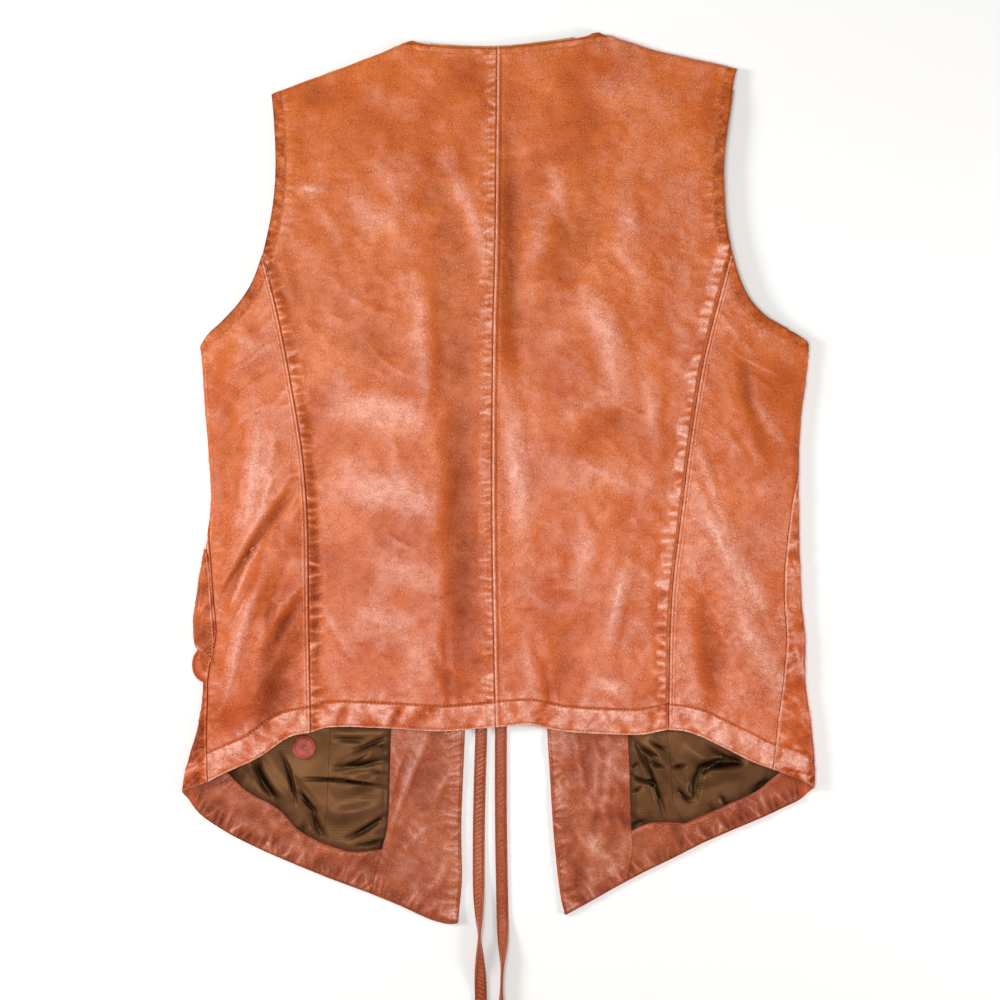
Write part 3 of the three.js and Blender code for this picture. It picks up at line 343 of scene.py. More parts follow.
# Outlines of the two sides, in rows of height up the vest and distance out from the centre line. The side
# seam's second number is an inset: the distance in from the side fold, along the leather, below zero where
# the seam has gone round to the underside.
LEFT = {
    "name": "left",
    "sign": -1,
    "fold": [
        (103, 238.4), (47, 234.4), (-9, 230.4), (-33, 231.6), (-65, 235.6), (-97, 240.8), (-121, 242.8),
        (-145, 238.6), (-169, 236.8), (-193, 240), (-225, 248.8), (-247, 253.4),
    ],
    "side_seam": [
        (104, -6), (20, -5), (-12, -2.4), (-35, 1.6), (-65, 8.4), (-97, 16), (-122, 20), (-141, 13),
        (-161, 7.5), (-193, 9.4), (-225, 18.5), (-241.6, 22.8),
    ],
    "princess": [
        (179.2, 188.6), (132, 176.8), (74, 165.6), (18, 156.8), (-30, 153), (-105, 152), (-202, 150.4),
    ],
    "armhole_upper": [(179.2, 188.6), (207, 182.4), (231, 179.2), (255, 178.4), (287, 180), (308, 182.2)],
    "armhole_lower": [(179.2, 188.6), (159, 196), (143, 205.6), (127, 220), (117, 231)],
    "neckline": [(345.2, 1.6), (346, 39.2), (348.4, 63.2)],
    "shoulder": [(350.4, 72.8), (344, 87.2), (325.6, 135.2), (317, 159.2), (308, 182.2)],
    "hem_back": [(-198.4, 2.7), (-201.6, 47), (-199.2, 87), (-198.4, 137), (-202, 150.4)],
    "hem_side": [(-202, 150.4), (-205.6, 167), (-221.6, 191), (-234.4, 218.4)],
    "fold_corner": (-251, 0),
    "hem_front": [
        (-264, 244), (-273, 234.4), (-289, 208), (-305, 172.8), (-321, 133.6), (-337, 90.4), (-353, 55.2),
        (-357, 39), (-356, 32.8),
    ],
    "front_edge": [
        (-356, 32.8), (-340, 31.2), (-321.6, 29.6), (-279, 30.2), (-201.6, 27.2), (-33, 22.4), (23, 21),
    ],
    "neck_edge": [(23, 21), (63, 24), (143, 35), (223, 50), (303, 65)],
    "armhole_front": [(109, 231), (116, 219), (132, 200), (160, 184), (207, 174), (255, 173), (297, 178)],
    "facing_edge": [
        (-332, 101.6), (-314, 98.6), (-297, 94), (-279, 89.6), (-202, 86.4), (-100, 80), (0, 74), (120, 84),
        (300, 108),
    ],
    "lining_hem": [
        (-297, 94), (-299, 118), (-292, 142.4), (-281, 160.8), (-265, 176), (-250, 202.4), (-234.4, 218.4),
        (-221, 229),
    ],
    "lining_seam": [(-292, 142.4), (-276, 139.2), (-201, 135.2), (-130, 133)],
    "lining_top": [(-130, 82), (-130, 133), (-130, 226)],
}
RIGHT = {
    "name": "right",
    "sign": 1,
    "fold": [
        (105, 248), (79, 245.6), (47, 241.6), (15, 240), (-33, 240.4), (-97, 242.4), (-129, 245.4),
        (-161, 245.4), (-193, 249.6), (-233, 253.4), (-250, 252.2),
    ],
    "side_seam": [
        (106, -6), (55, -4.6), (30, -2), (9.6, 2), (-10, 7), (-41, 12), (-73, 16), (-136, 19), (-162, 21.6),
        (-190, 29), (-213, 34), (-231.2, 38.4),
    ],
    "princess": [
        (181.6, 185.4), (146, 176), (94, 163.2), (24, 152), (-34, 144.8), (-79, 139.2), (-117, 136.8),
        (-200, 135.2),
    ],
    "armhole_upper": [
        (181.6, 185.4), (207, 181), (239, 179.2), (263, 180), (287, 183.2), (319, 188), (328.4, 191.2),
    ],
    "armhole_lower": [(181.6, 185.4), (159, 192), (143, 200), (129.6, 212.8), (122.4, 224.8), (115.6, 238)],
    "neckline": [(345.2, -1.6), (348.4, 32.8), (353.6, 68.8)],
    "shoulder": [(356.8, 80.8), (349.6, 104.8), (342.4, 128.8), (334.4, 164.8), (328.4, 191.2)],
    "hem_back": [(-198, -2.7), (-196.4, 24.8), (-201.2, 48.8), (-204, 97), (-204, 114), (-200, 135.2)],
    "hem_side": [(-200, 135.2), (-202.4, 152.8), (-212.8, 176.8), (-224.8, 200.8)],
    "fold_corner": (-247, 0),
    "hem_front": [
        (-256.8, 241.6), (-264.8, 224.8), (-272.8, 208), (-288.8, 169.6), (-304.8, 137.6), (-320.8, 104.8),
        (-336.8, 76.8), (-349.6, 53),
    ],
    "front_edge": [(-349.6, 53), (-337, 49.6), (-289, 44), (-241, 40.8), (-201, 38.4), (-33, 27.2), (23, 24)],
    "neck_edge": [(23, 24), (63, 27), (143, 37), (223, 51), (303, 68)],
    "armhole_front": [(109, 240), (116, 228), (132, 207), (160, 187), (207, 175), (255, 174), (313, 185)],
    "facing_edge": [
        (-321, 103), (-308, 105.4), (-294, 106.8), (-282, 106), (-205, 103.2), (-100, 94), (0, 84), (120, 90),
        (300, 114),
    ],
    "lining_hem": [
        (-282, 106), (-276, 120), (-276, 148.8), (-260, 184.8), (-250.4, 205.6), (-237.6, 221.6), (-228, 233)
    ],
    "lining_seam": [(-276, 148.8), (-260, 140), (-230, 137.6), (-205, 134.4), (-130, 131)],
    "lining_top": [(-130, 97), (-130, 131), (-130, 233)],
}
SIDES = (LEFT, RIGHT)
# Folds and creases of the back: from (x0, y0) to (x1, y1), reach to each side, height, and bow to one side.
BACK_FOLDS = [
    (14, 310, 18, -40, 15, -0.9, 0), (-8, 320, -12, -180, 14, 0.5, 0), (-150, 280, -95, 40, 34, 0.8, 0),
    (-60, 250, -24, -20, 22, -0.7, 0), (-120, 60, -70, -150, 30, 0.7, 0), (120, 290, 70, 60, 36, 0.9, 0),
    (60, 60, 110, -120, 30, 0.7, 0), (-186, -40, -226, -112, 9, -1.3, 0),
    (-172, -40, -214, -130, 14, 1.4, 0), (-162, -120, -205, -190, 13, 1.0, 0),
    (168, -20, 214, -160, 16, 1.2, 0), (190, -10, 226, -90, 12, -1.0, 0),
    (158, -110, 200, -205, 14, -0.9, 0),
]
BACK_CREASES = [
    (-156, 0, -220, -98, 5, -0.42, 4), (-163, 6, -224, -88, 7, 0.4, 4),
    (-152, -90, -190, -156, 4.5, -0.3, 3), (-157, -80, -198, -148, 6, 0.3, 3),
    (-190, -48, -223, -96, 3, -0.4, 2), (-189, -59, -216, -117, 3, -0.35, -3),
    (-196, -60, -210, -100, 4, 0.35, 0), (-166, 20, -196, -40, 5, 0.4, 4),
    (-172, -70, -186, -150, 5, -0.35, 3), (-206, -120, -228, -200, 4, 0.4, -3),
    (-178, 60, -214, 40, 4, 0.35, 3), (-180, 110, -216, 84, 4, 0.35, -2), (-176, 90, -206, 72, 3, -0.3, 2),
    (158, 40, 196, -60, 6, 0.45, 5), (170, 60, 214, -10, 5, -0.35, -3), (196, -60, 224, -130, 5, 0.45, 4),
    (150, -60, 178, -120, 5, 0.35, 0), (180, 108, 226, 82, 3, 0.35, 3), (186, 96, 232, 60, 4, -0.35, -3),
    (200, 70, 236, 20, 5, 0.4, 2), (-110, 110, -60, 76, 4, 0.3, 3), (-120, 92, -76, 66, 3, -0.25, -2),
    (-130, 150, -70, 128, 5, 0.3, 4), (60, 20, 120, -10, 5, 0.3, 4), (84, 60, 132, 40, 4, 0.3, -3),
    (100, -60, 128, -84, 4, 0.3, 2), (-60, -120, -20, -170, 6, 0.35, 3), (20, -110, 36, -196, 7, 0.5, 2),
    (-46, -100, -38, -196, 5, -0.45, 0), (34, -140, 44, -198, 5, -0.45, -1),
    (-140, -100, -110, -150, 6, 0.4, 3), (-96, -40, -60, -60, 5, 0.3, 2), (90, 200, 130, 150, 8, 0.35, 4),
    (40, 260, 70, 180, 9, 0.4, 3), (-100, 260, -60, 200, 9, 0.4, 3), (-160, 240, -120, 170, 8, 0.4, -4),
    (-170, 200, -150, 120, 6, -0.4, 3),
]

# The broad folds of the hide, given the same way with painted light in place of the height: above zero a
# trough in painted shade, below zero a swelling with a painted highlight. Its height follows from it.
HIDE_SWELL = 2.2
PAINTED_LIGHT_FOLDS = [
    (-44, 300, -26, -60, 28, 0.38, 3), (-34, 60, -24, -215, 20, 0.6, 0), (8, 340, 9, 20, 13, 0.6, 0),
    (96, 246, 36, 134, 34, 0.42, 5), (-166, 318, -128, 296, 16, 0.4, 0), (214, 70, 196, -150, 36, -0.2, 0),
    (171, 350, 171, 165, 14, 0.3, 0), (-152, 70, -144, -206, 9, 0.4, 0),
    (-154, -84, -204, -214, 26, 0.5, -4), (-170, -136, -190, -226, 20, 0.4, 0),
    (-156, 4, -220, -100, 7, 0.45, 4), (-152, -86, -190, -156, 7, 0.4, 3), (190, 118, 220, 4, 9, 0.5, 4),
    (160, -74, 177, -203, 15, 0.65, 0), (86, -84, 36, -176, 22, 0.3, 0), (125, -78, 133, -196, 8, 0.35, 0),
    (-184, 178, -158, 114, 10, 0.3, 0), (237, 82, 240, -84, 6, 0.4, 0), (-140, 110, -70, 100, 24, 0.25, 0),
    (70, 350, 60, 230, 44, 0.28, 0), (120, 60, 60, 30, 14, 0.2, 0), (-30, 345, -24, 300, 26, 0.35, 0),
    (-61, 178, -54, 60, 13, -0.5, 3), (-144, 62, -40, 46, 24, -0.55, 0), (-140, 2, -36, -22, 28, -0.6, 0),
    (-100, -72, -38, -80, 20, -0.45, 3), (-130, -102, -44, -138, 25, -0.35, 0),
    (-72, -126, -58, -184, 19, -0.35, 0), (-163, 234, -136, 229, 6, -0.8, 0),
    (-132, 230, -68, 194, 19, -0.35, 0), (-48, 276, -5, 162, 12, -0.55, 0),
    (-192, 72, -210, -60, 12, -0.7, -4), (-178, 50, -191, -38, 8, -0.45, 0),
    (-194, -84, -219, -176, 9, -0.55, 2), (4, 122, 26, -80, 14, -0.6, 2), (70, 162, 105, 50, 17, -0.55, -3),
    (121, 92, 126, 18, 11, -0.35, 0), (46, 54, 100, 73, 16, -0.3, 0), (107, -60, 89, -142, 8, -0.6, 3),
    (70, -160, 108, -174, 12, -0.55, 0), (152, 4, 212, -106, 12, -0.7, 3),
    (187, -92, 231, -182, 14, -0.6, 0), (30, 8, 132, -2, 23, -0.35, 0), (96, 244, 110, 186, 13, -0.35, 0),
    (37, 228, 32, 162, 12, -0.35, 0), (74, -38, 64, -92, 13, -0.4, 0), (-216, 120, -190, 100, 12, -0.35, 0),
    (-110, 312, -60, 290, 16, -0.2, 0), (60, 320, 120, 300, 18, -0.2, 0),
]


def ease(t):
    t = np.clip(t, 0, 1)
    return t * t * (3 - 2 * t)


def fold_height(folds, x, y):
    """Height that a table of folds adds: a rounded ridge or trough along each, fading out at its ends."""
    height = np.zeros(np.broadcast(x, y).shape)
    for x0, y0, x1, y1, reach, tall, bow in folds:
        run = math.hypot(x1 - x0, y1 - y0)
        ax, ay = (x1 - x0) / run, (y1 - y0) / run
        t = ((x - x0) * ax + (y - y0) * ay) / run
        fade = np.sin(math.pi * np.clip(t, 0, 1))
        off = ((x - x0) * ay - (y - y0) * ax - bow * fade) / reach
        height += tall * fade * np.clip(1 - off * off, 0, 1) ** 2
    return height


def pocket_lift(side, w, y):
    """How far the pocket flap under the left side fold lifts the leather."""
    if side["sign"] > 0:
        return np.zeros(np.broadcast(w, y).shape)
    lift = POCKET_LIFT
    along = ease((lift["top"] - y) / lift["ease"]) * ease((y - lift["bottom"]) / lift["ease"])
    return lift["height"] * along * ease((w - lift["from"]) / (lift["to"] - lift["from"]))


def fold_start(side, y):
    return value_at(side["fold"], y) - FOLD_RADIUS


def shoulder_line(side, w):
    """Tilt of the shoulder, and the height at which its fold begins."""
    rows = [(out, up) for up, out in side["shoulder"]]
    slope = (rows[-1][1] - rows[0][1]) / (rows[-1][0] - rows[0][0])
    tilt = math.atan(-slope)
    outside = np.minimum(w - rows[0][0], 0) + np.maximum(w - rows[-1][0], 0)
    return tilt, value_at(rows, w) + outside * slope - SHOULDER_RADIUS / math.cos(tilt)


def back_height(side, w, y):
    """Height of the back's outer face over the floor."""
    reach = np.minimum(np.abs(w) / fold_start(side, y), 1)
    q = np.minimum(np.abs(reach - PUFF["centre"]) / PUFF["reach"], 1)
    puff = (PUFF["side"] + PUFF["hem"] * ease((-120 - y) / 90)) * (1 - q * q) ** 2
    level = BACK_HEIGHT + (2 * FOLD_RADIUS - BACK_HEIGHT) * ease(reach)
    free = level + puff + fold_height(BACK_FOLDS, side["sign"] * w, y) + pocket_lift(side, w, y)
    near = ease(1 - (shoulder_line(side, w)[1] - y) / SHOULDER_EASE)
    return free + (2 * SHOULDER_RADIUS - free) * near


def outer_face(side, spread, y):
    """Points of the leather's outer face: over the back, round the side fold, and along the underside."""
    start = fold_start(side, y)
    turned = np.clip((spread - start) / FOLD_RADIUS, 0, math.pi)
    flat, under = turned <= 0, turned >= math.pi
    lift = pocket_lift(side, start, y)
    w_under = 2 * start + FOLD_LENGTH - spread
    x = np.where(flat, spread, np.where(under, w_under, start + FOLD_RADIUS * np.sin(turned)))
    z_round = lift + FOLD_RADIUS * (1 + np.cos(turned))
    z = np.where(flat, back_height(side, spread, y), np.where(under, pocket_lift(side, w_under, y), z_round))
    tilt, line = shoulder_line(side, x)
    past = np.maximum((y - line) * math.cos(tilt), 0)
    turn = np.minimum(past / SHOULDER_RADIUS, math.pi / 2)
    slide = SHOULDER_RADIUS * np.sin(turn) - past
    layer = np.where(turned < math.pi / 2, 1, -1)
    z = z - layer * SHOULDER_RADIUS * (1 - np.cos(turn))
    return np.stack([(x + slide * math.sin(tilt)) * side["sign"], y + slide * math.cos(tilt), z], axis=-1)


def at_depth(side, spread, y, depth):
    """Points at a depth below the outer face. Without a side, each point is read from the side it lies on."""
    if side is None:
        left, right = (at_depth(one, np.abs(spread), y, depth) for one in SIDES)
        return np.where((spread < 0)[..., None], left, right)
    step = 0.05
    across = outer_face(side, spread + step, y) - outer_face(side, spread - step, y)
    up = outer_face(side, spread, y + step) - outer_face(side, spread, y - step)
    normal = np.cross(across, up) * side["sign"]
    normal /= np.linalg.norm(normal, axis=-1, keepdims=True)
    return outer_face(side, spread, y) - normal * np.asarray(depth)[..., None]


def route(side, rows, place):
    """A line on the leather through rows or a named outline: on the back, on the front or by its inset."""
    rows = side[rows] if isinstance(rows, str) else rows
    drawn = smooth_line([(value, y) for y, value in rows])
    if place == "back":
        return drawn
    start = fold_start(side, drawn[:, 1])
    turned = 2 * start + FOLD_LENGTH if place == "front" else start + FOLD_LENGTH / 2
    return np.stack([turned - drawn[:, 0], drawn[:, 1]], axis=-1)


def two_lines(first, second, share):
    """Two lines end to end, the first taking the given share."""

    def line(t):
        before, after = along_line(first, t / share), along_line(second, (t - share) / (1 - share))
        return np.where((t < share)[..., None], before, after)

    return line


def patch(*edges):
    """A sheet filled in between four lines that share their corners: bottom, top, start and end."""

    def at(edge, t):
        return edge(t) if callable(edge) else along_line(edge, t)

    def fill(u, v):
        b, t, s, e = (at(edge, share) for edge, share in zip(edges, (u, u, v, v)))
        corner = [at(edge, np.array([end]))[0] for edge in edges[:2] for end in (0.0, 1.0)]
        u, v = u[..., None], v[..., None]
        sheet = b * (1 - v) + t * v + s * (1 - u) + e * u
        sheet -= corner[0] * (1 - u) * (1 - v) + corner[1] * u * (1 - v)
        return sheet - corner[2] * (1 - u) * v - corner[3] * u * v

    return fill


def spaced(length, fine, coarse, first, last=None):
    """Shares from 0 to 1 of a length, fine apart near its ends and coarse in between."""
    last = first if last is None else last
    spans = [(0, first, fine), (first, length - last, coarse), (length - last, length, fine)]
    places = [np.linspace(a, b, max(2, round((b - a) / step) + 1))[:-1] for a, b, step in spans if b > a]
    return np.append(np.concatenate(places), length) / length


def every(count, skip):
    """Every few indices of a count, the last one included."""
    return np.unique(np.append(np.arange(0, count, skip), count - 1))


def shell(
    name, node, side, sheet, columns, rows, outer, inner, material,
    seen="outer", skip=5,
):
    """A closed wall of leather over a sheet, fine on the side that is seen and coarser behind.

    outer and inner give a depth for each point, and the one that is seen also gives its painted light and
    shade."""
    u, v = np.meshgrid(columns, rows)
    flat = sheet(u, v)
    spread, y = flat[..., 0] + SEAM_GAP / 2 * (1 - 2 * u), flat[..., 1]
    near, far = (outer, inner) if seen == "outer" else (inner, outer)
    depth, shade = near(spread, y)
    fine = at_depth(side, spread, y, depth)
    iu, iv = every(len(columns), skip), every(len(rows), skip)
    pick = np.ix_(iv, iu)
    coarse = at_depth(side, spread[pick], y[pick], far(spread[pick], y[pick]))
    grid = np.arange(spread.size).reshape(spread.shape)
    grid_far = grid.size + np.arange(len(iv) * len(iu)).reshape(len(iv), len(iu))
    forward = (side is None or side["sign"] > 0) == (seen == "outer")

    def quads(g, flip):
        corners = [g[:-1, :-1], g[:-1, 1:], g[1:, 1:], g[1:, :-1]]
        return np.stack(corners[::-1] if flip else corners, axis=-1).reshape(-1, 4).tolist()

    faces = quads(grid, not forward) + quads(grid_far, forward)
    borders = [
        (grid[:, 0], grid_far[:, 0], iv, False), (grid[:, -1], grid_far[:, -1], iv, True),
        (grid[0], grid_far[0], iu, True), (grid[-1], grid_far[-1], iu, False),
    ]
    for edge, edge_far, kept, flip in borders:
        rim = []
        for j, (low, high) in enumerate(zip(kept[:-1], kept[1:])):
            middle = (low + high) // 2
            rim += [(edge[i], edge[i + 1], edge_far[j]) for i in range(low, middle)]
            rim.append((edge[middle], edge_far[j + 1], edge_far[j]))
            rim += [(edge[i], edge[i + 1], edge_far[j + 1]) for i in range(middle, high)]
        faces += [[int(i) for i in (face if flip != forward else face[::-1])] for face in rim]
    points = np.vstack([fine.reshape(-1, 3), coarse.reshape(-1, 3)])
    points[:, 2] = np.maximum(points[:, 2], 0)
    wear_and_painted_light = np.concatenate([np.clip(shade, -1, 1).ravel(), np.full(grid_far.size, 0.2)])
    piece = add_piece(name, node, points, faces, wear_and_painted_light, material)


def beside(line, spread, y, reach=30):
    """Distance of each point from a line, and how far along the line it is."""
    shape = spread.shape
    points = np.stack([spread.ravel(), y.ravel()], axis=-1)
    off, along = np.full(len(points), 1e3), np.zeros(len(points))
    total = np.linalg.norm(np.diff(line, axis=0), axis=1).sum()
    line = along_line(line, np.linspace(0, 1, int(total / 1.5) + 2))
    ahead = np.gradient(line, axis=0)
    ahead /= np.linalg.norm(ahead, axis=1, keepdims=True)
    length = np.concatenate([[0], np.cumsum(np.linalg.norm(np.diff(line, axis=0), axis=1))])
    inside = np.all((points > line.min(axis=0) - reach) & (points < line.max(axis=0) + reach), axis=1)
    for chunk in np.array_split(np.flatnonzero(inside), max(1, inside.sum() // 6000)):
        if not len(chunk):
            continue
        at = ((points[chunk, None] - line) ** 2).sum(axis=2).argmin(axis=1)
        gap = points[chunk] - line[at]
        along[chunk] = length[at] + (gap * ahead[at]).sum(axis=1)
        off[chunk] = np.abs(ahead[at, 0] * gap[:, 1] - ahead[at, 1] * gap[:, 0])
    return off.reshape(shape), along.reshape(shape)


def ridge(off, centre, width):
    return np.clip(1 - ((off - centre) / width) ** 2, 0, 1) ** 2


def puckers(off, along, seed, reach, pitch=(3.2, 6.4), lean=0.25, patchy=0.6):
    """The ladder of small folds that a tight stitch draws up beside a seam, uneven in pitch and size."""
    rng = np.random.default_rng(seed)
    places = rng.uniform(*pitch, 400).cumsum() - 10
    tall = rng.uniform(0.2, 1, 400) * (1 - patchy + patchy * np.sin(places / rng.uniform(16, 30) + seed) ** 2)
    long = reach * rng.uniform(0.6, 1.25, 400)
    slant = rng.normal(0, lean, 400)
    height = np.zeros(off.shape)
    middle = np.clip(np.searchsorted(places, along), 2, 397)
    for k in (middle - 2, middle - 1, middle, middle + 1):
        q = np.clip(off / long[k], 0, 1)
        across = (along - places[k] - slant[k] * off) / (0.36 * (pitch[0] + pitch[1]) / 2)
        height += tall[k] * np.exp(-across * across) * (1 - q * q) * ease(q / 0.12)
    return np.where(off > 0, height, 0)


def clouds_of_height(x, y, seed, size, stretch=1.0):
    """Gentle uneven waves, about size apart and stretch times as long up the vest, from -1 to 1."""
    rng = np.random.default_rng(seed)
    table = rng.uniform(-1, 1, (96, 96))
    gx, gy = x / size + 40, y / (size * stretch) + 40
    ix, iy = np.floor(gx).astype(int), np.floor(gy).astype(int)
    fx, fy = ease(gx - ix), ease(gy - iy)
    near = table[ix % 96, iy % 96] * (1 - fx) + table[(ix + 1) % 96, iy % 96] * fx
    far = table[ix % 96, (iy + 1) % 96] * (1 - fx) + table[(ix + 1) % 96, (iy + 1) % 96] * fx
    return near * (1 - fy) + far * fy


def crinkles(x, y, seed, size, stretch=1.0):
    """Thin crooked ridges, closed round patches of about the given size, as creased leather has."""
    bent = x + 0.4 * size * clouds_of_height(x, y, seed + 50, size * 0.7)
    lines = np.clip(1 - 4.5 * np.abs(clouds_of_height(bent, y, seed, size, stretch)), 0, 1)
    return lines * (0.4 + 0.6 * clouds_of_height(x, y, seed + 51, size * 2.5) ** 2)


def gathered(off, along, seed, width, size):
    """The crumpled leather inside a stitched band, from its edge to its row of stitches."""
    inside = ease(off / 2) * ease((width - off) / 2)
    waves = clouds_of_height(along + 0.4 * off, off, seed, size, 2.6)
    waves += 0.5 * clouds_of_height(along - 0.5 * off, off, seed + 1, size * 0.45, 2)
    return inside * waves * (0.65 + 0.35 * clouds_of_height(along, 0 * off, seed + 2, 30))


# How far the stitched bands reach in from their edges.
HEM_BAND = 20
HEM_EDGE_ROW = 1.8
ARMHOLE_BAND = 8.4
NECK_BAND = 6.4
CENTRE_ROW = 7.2
# How much paler the leather is painted for each millimetre that it stands up: a painted highlight on what
# stands up and painted shade in the dips, partly rubbed wear too. The lower right and the upper right of the
# back are painted paler than the rest.
RUB_AND_PAINTED_LIGHT = 0.5
PALER_LOW_RIGHT = 0.14
PALER_HIGH_RIGHT = 0.1


def broad_relief(side, spread, y):
    """The broad uneven waves of a worn hide, gone where the side fold and the shoulder press it flat."""
    x, out = side["sign"] * spread, np.abs(spread)
    lean_x, lean_y = x + 0.3 * y, y - 0.3 * x
    waves = 0.5 * clouds_of_height(lean_x, lean_y, 3, 52, 1.8)
    waves += 0.6 * clouds_of_height(x - 0.25 * y, y, 5, 27, 1.6)
    waves -= HIDE_SWELL * fold_height(PAINTED_LIGHT_FOLDS, x, y)
    pressed = ease((fold_start(side, y) - out + 3) / 30) * ease((shoulder_line(side, out)[1] - y) / 26)
    return (waves + 0.9) * pressed


def soft_relief(side, spread, y):
    """All that the hide does by itself, its broad waves, small dents and creases, and the painted light and
    wear on it.
    """
    x = side["sign"] * spread
    lean_x, lean_y = x + 0.35 * y, y - 0.35 * x
    small = 0.3 * clouds_of_height(lean_x, lean_y, 8, 11, 1.3) + 0.13 * clouds_of_height(lean_x, y, 9, 4.6)
    small += 1.4 * fold_height(BACK_CREASES, x, y)
    creased = ease(0.5 + 1.2 * clouds_of_height(x, y, 15, 60))
    small += creased * (0.32 * crinkles(lean_x, lean_y, 61, 11, 1.4) + 0.2 * crinkles(x, y, 64, 6.5))
    pale = PALER_LOW_RIGHT * ease((60 - y) / 220) * ease((x + 40) / 200)
    pale += PALER_HIGH_RIGHT * ease((y - 60) / 160) * ease((x + 20) / 120)
    return broad_relief(side, spread, y) + small, fold_height(PAINTED_LIGHT_FOLDS, x, y) - RUB_AND_PAINTED_LIGHT * small - pale


def hem_relief(line, spread, y, seed):
    """The turned and twice stitched hem: two sunk rows of stitches with a puckered band between."""
    off, along = beside(line, spread, y)
    inside = ease((HEM_BAND - off) / 2)
    height = gathered(off, along, seed, HEM_BAND, 7) + 0.2 * inside
    height += 0.5 * puckers(off - HEM_BAND, along, seed + 1, 10, (5, 11), 0.3)
    height += 0.8 * puckers(HEM_BAND - off, along, seed + 2, 11, (4, 8), 0.3, 0.4)
    height += inside * 0.3 * crinkles(along, off, seed + 3, 7, 1.6)
    # Painted shade in the rows of stitches and the dips, painted highlights on what stands up and along the
    # edge.
    shade = -0.03 * inside - 2.2 * RUB_AND_PAINTED_LIGHT * height
    shade += 0.85 * ridge(off, HEM_BAND, 1.1) + 0.4 * ridge(off, HEM_EDGE_ROW, 0.8)
    height -= 0.4 * ridge(off, HEM_BAND, 1.2) + 0.15 * ridge(off, HEM_EDGE_ROW, 0.9)
    return height, shade - 0.7 * ridge(off, 0, 1.2)


def armhole_relief(line, spread, y, seeds, reach):
    """The armhole's edge, turned in and stitched: a gathered band with puckers on both sides of its row."""
    off, along = beside(line, spread, y)
    drawn = 0.8 * puckers(off - ARMHOLE_BAND, along, seeds[0], reach, (3, 6.4))
    drawn += 0.9 * gathered(off, along, seeds[1], ARMHOLE_BAND, 3.6)
    drawn += 0.9 * puckers(ARMHOLE_BAND - off, along, seeds[2], 9, (3, 5.4), 0.2, 0.3)
    # Painted shade in the row of stitches; the band is darker all over, and the burnished edge darker still.
    shade = 0.25 * ridge(off, ARMHOLE_BAND, 0.7) + 0.5 * ridge(off, 0, 1.8) + 0.4 * ease(ARMHOLE_BAND - off)
    return drawn, shade


# The folds beside each princess seam: seed, first distance from it, length, pitch, height, how strong the
# painted highlight on them is, and how dark the painted shade between them is.
LADDERS = {
    "left": (21, 0, 11.5, (3.8, 6.4), 1.5, 1.2, 0.55),
    "right": (27, 2.2, 10, (5.4, 8.6), 2.2, 2.6, 0.5),
}
HEM_SEEDS = {"left": 41, "right": 47}


def centre_seam(side):
    return route(side, [(y, side["sign"] * x) for y, x in CENTRE_SEAM], "back")


def back_relief(side):
    keys = ("princess", "armhole_upper", "neckline", "hem_back")
    princess, armhole, neck, hem = (route(side, key, "back") for key in keys)
    centre = centre_seam(side)

    def relief(spread, y):
        height, shade = soft_relief(side, spread, y)
        # The shade below is painted: painted shade in the seam lines, the rows of stitches and between the
        # folds beside them, and painted highlights on the raised edge of the seam and on the folds that stand
        # up.
        off, along = beside(centre, spread, y)
        if side is LEFT:
            drawn = 1.1 * puckers(off, along, 11, 11, (3.4, 6.6), 0.2, 0.3)
            shade += 0.7 * ridge(off, 0.4, 0.9) + 0.3 * ridge(off, 3.6, 4) - 0.8 * drawn
        else:
            drawn = 0.5 * ridge(off, 1.2, 1.5) + 0.12 * puckers(off, along, 12, 14, (7, 16))
            height -= 0.35 * ridge(off, 4.2, 2)
            shade += 0.3 * ridge(off, 3.4, 1.6) - 0.75 * ridge(off, 1.2, 1.2)
        off, along = beside(princess, spread, y)
        seed, begin, reach, pitch, tall, painted_highlight, shadow = LADDERS[side["name"]]
        ladder = puckers(off - begin, along, seed, reach, pitch, 0.2, 0.4)
        shade += 0.7 * ridge(off, 0, 0.8) + shadow * ridge(off, 4.5, 6.5) - painted_highlight * ladder
        band, band_shade = armhole_relief(armhole, spread, y, (31, 32, 33), 10)
        drawn += tall * ladder + band
        off, along = beside(neck, spread, y)
        drawn += 0.7 * puckers(off, along, 37, 13, (3.4, 8)) + 0.6 * gathered(off, along, 38, NECK_BAND, 4)
        shade += 0.25 * ridge(off, NECK_BAND, 0.7) + 0.7 * ridge(off, 1.4, 1.3)
        hem_height, hem_shade = hem_relief(hem, spread, y, HEM_SEEDS[side["name"]])
        return -(height + drawn + hem_height), shade + band_shade - RUB_AND_PAINTED_LIGHT * drawn + hem_shade

    return relief


def behind(depth):
    return lambda spread, y: np.full(spread.shape, float(depth))


def behind_waves(side, depth):
    return lambda spread, y: depth - broad_relief(side, spread, y)


def shifted(line, distance):
    """A line moved sideways by a distance, to its left where the distance is above zero."""
    ahead = np.gradient(line, axis=0)
    ahead /= np.linalg.norm(ahead, axis=1, keepdims=True)
    return line + np.stack([-ahead[:, 1], ahead[:, 0]], axis=-1) * distance


# Every row of stitches, as points of the thread in millimetres. They are sewn all together further down.
THREAD_RAISED = 0.12
leather_rows, facing_rows = [], list(strap_stitches)


def sew(rows, side, line, distance, relief, inward=-1):
    """Adds a row of stitches at a distance to the left of a line. inward is 1 on an inner face."""
    placed = along_line(shifted(line, distance), np.linspace(0.004, 0.996, 260))
    spread, y = placed[:, 0], placed[:, 1]
    rows.append(at_depth(side, spread, y, relief(spread, y)[0] + THREAD_RAISED * inward))


def shoulder_seam(side, place):
    """Where the back and the front meet along the shoulder, just past the top of the fold."""
    end = SHOULDER_RADIUS * math.pi / 2 - SEAM_GAP / 2
    rows = []
    for _, w in side["shoulder"]:
        tilt, line = shoulder_line(side, np.array(float(w)))
        rows.append((float(line) + end / math.cos(tilt), w))
    return route(side, rows, place)


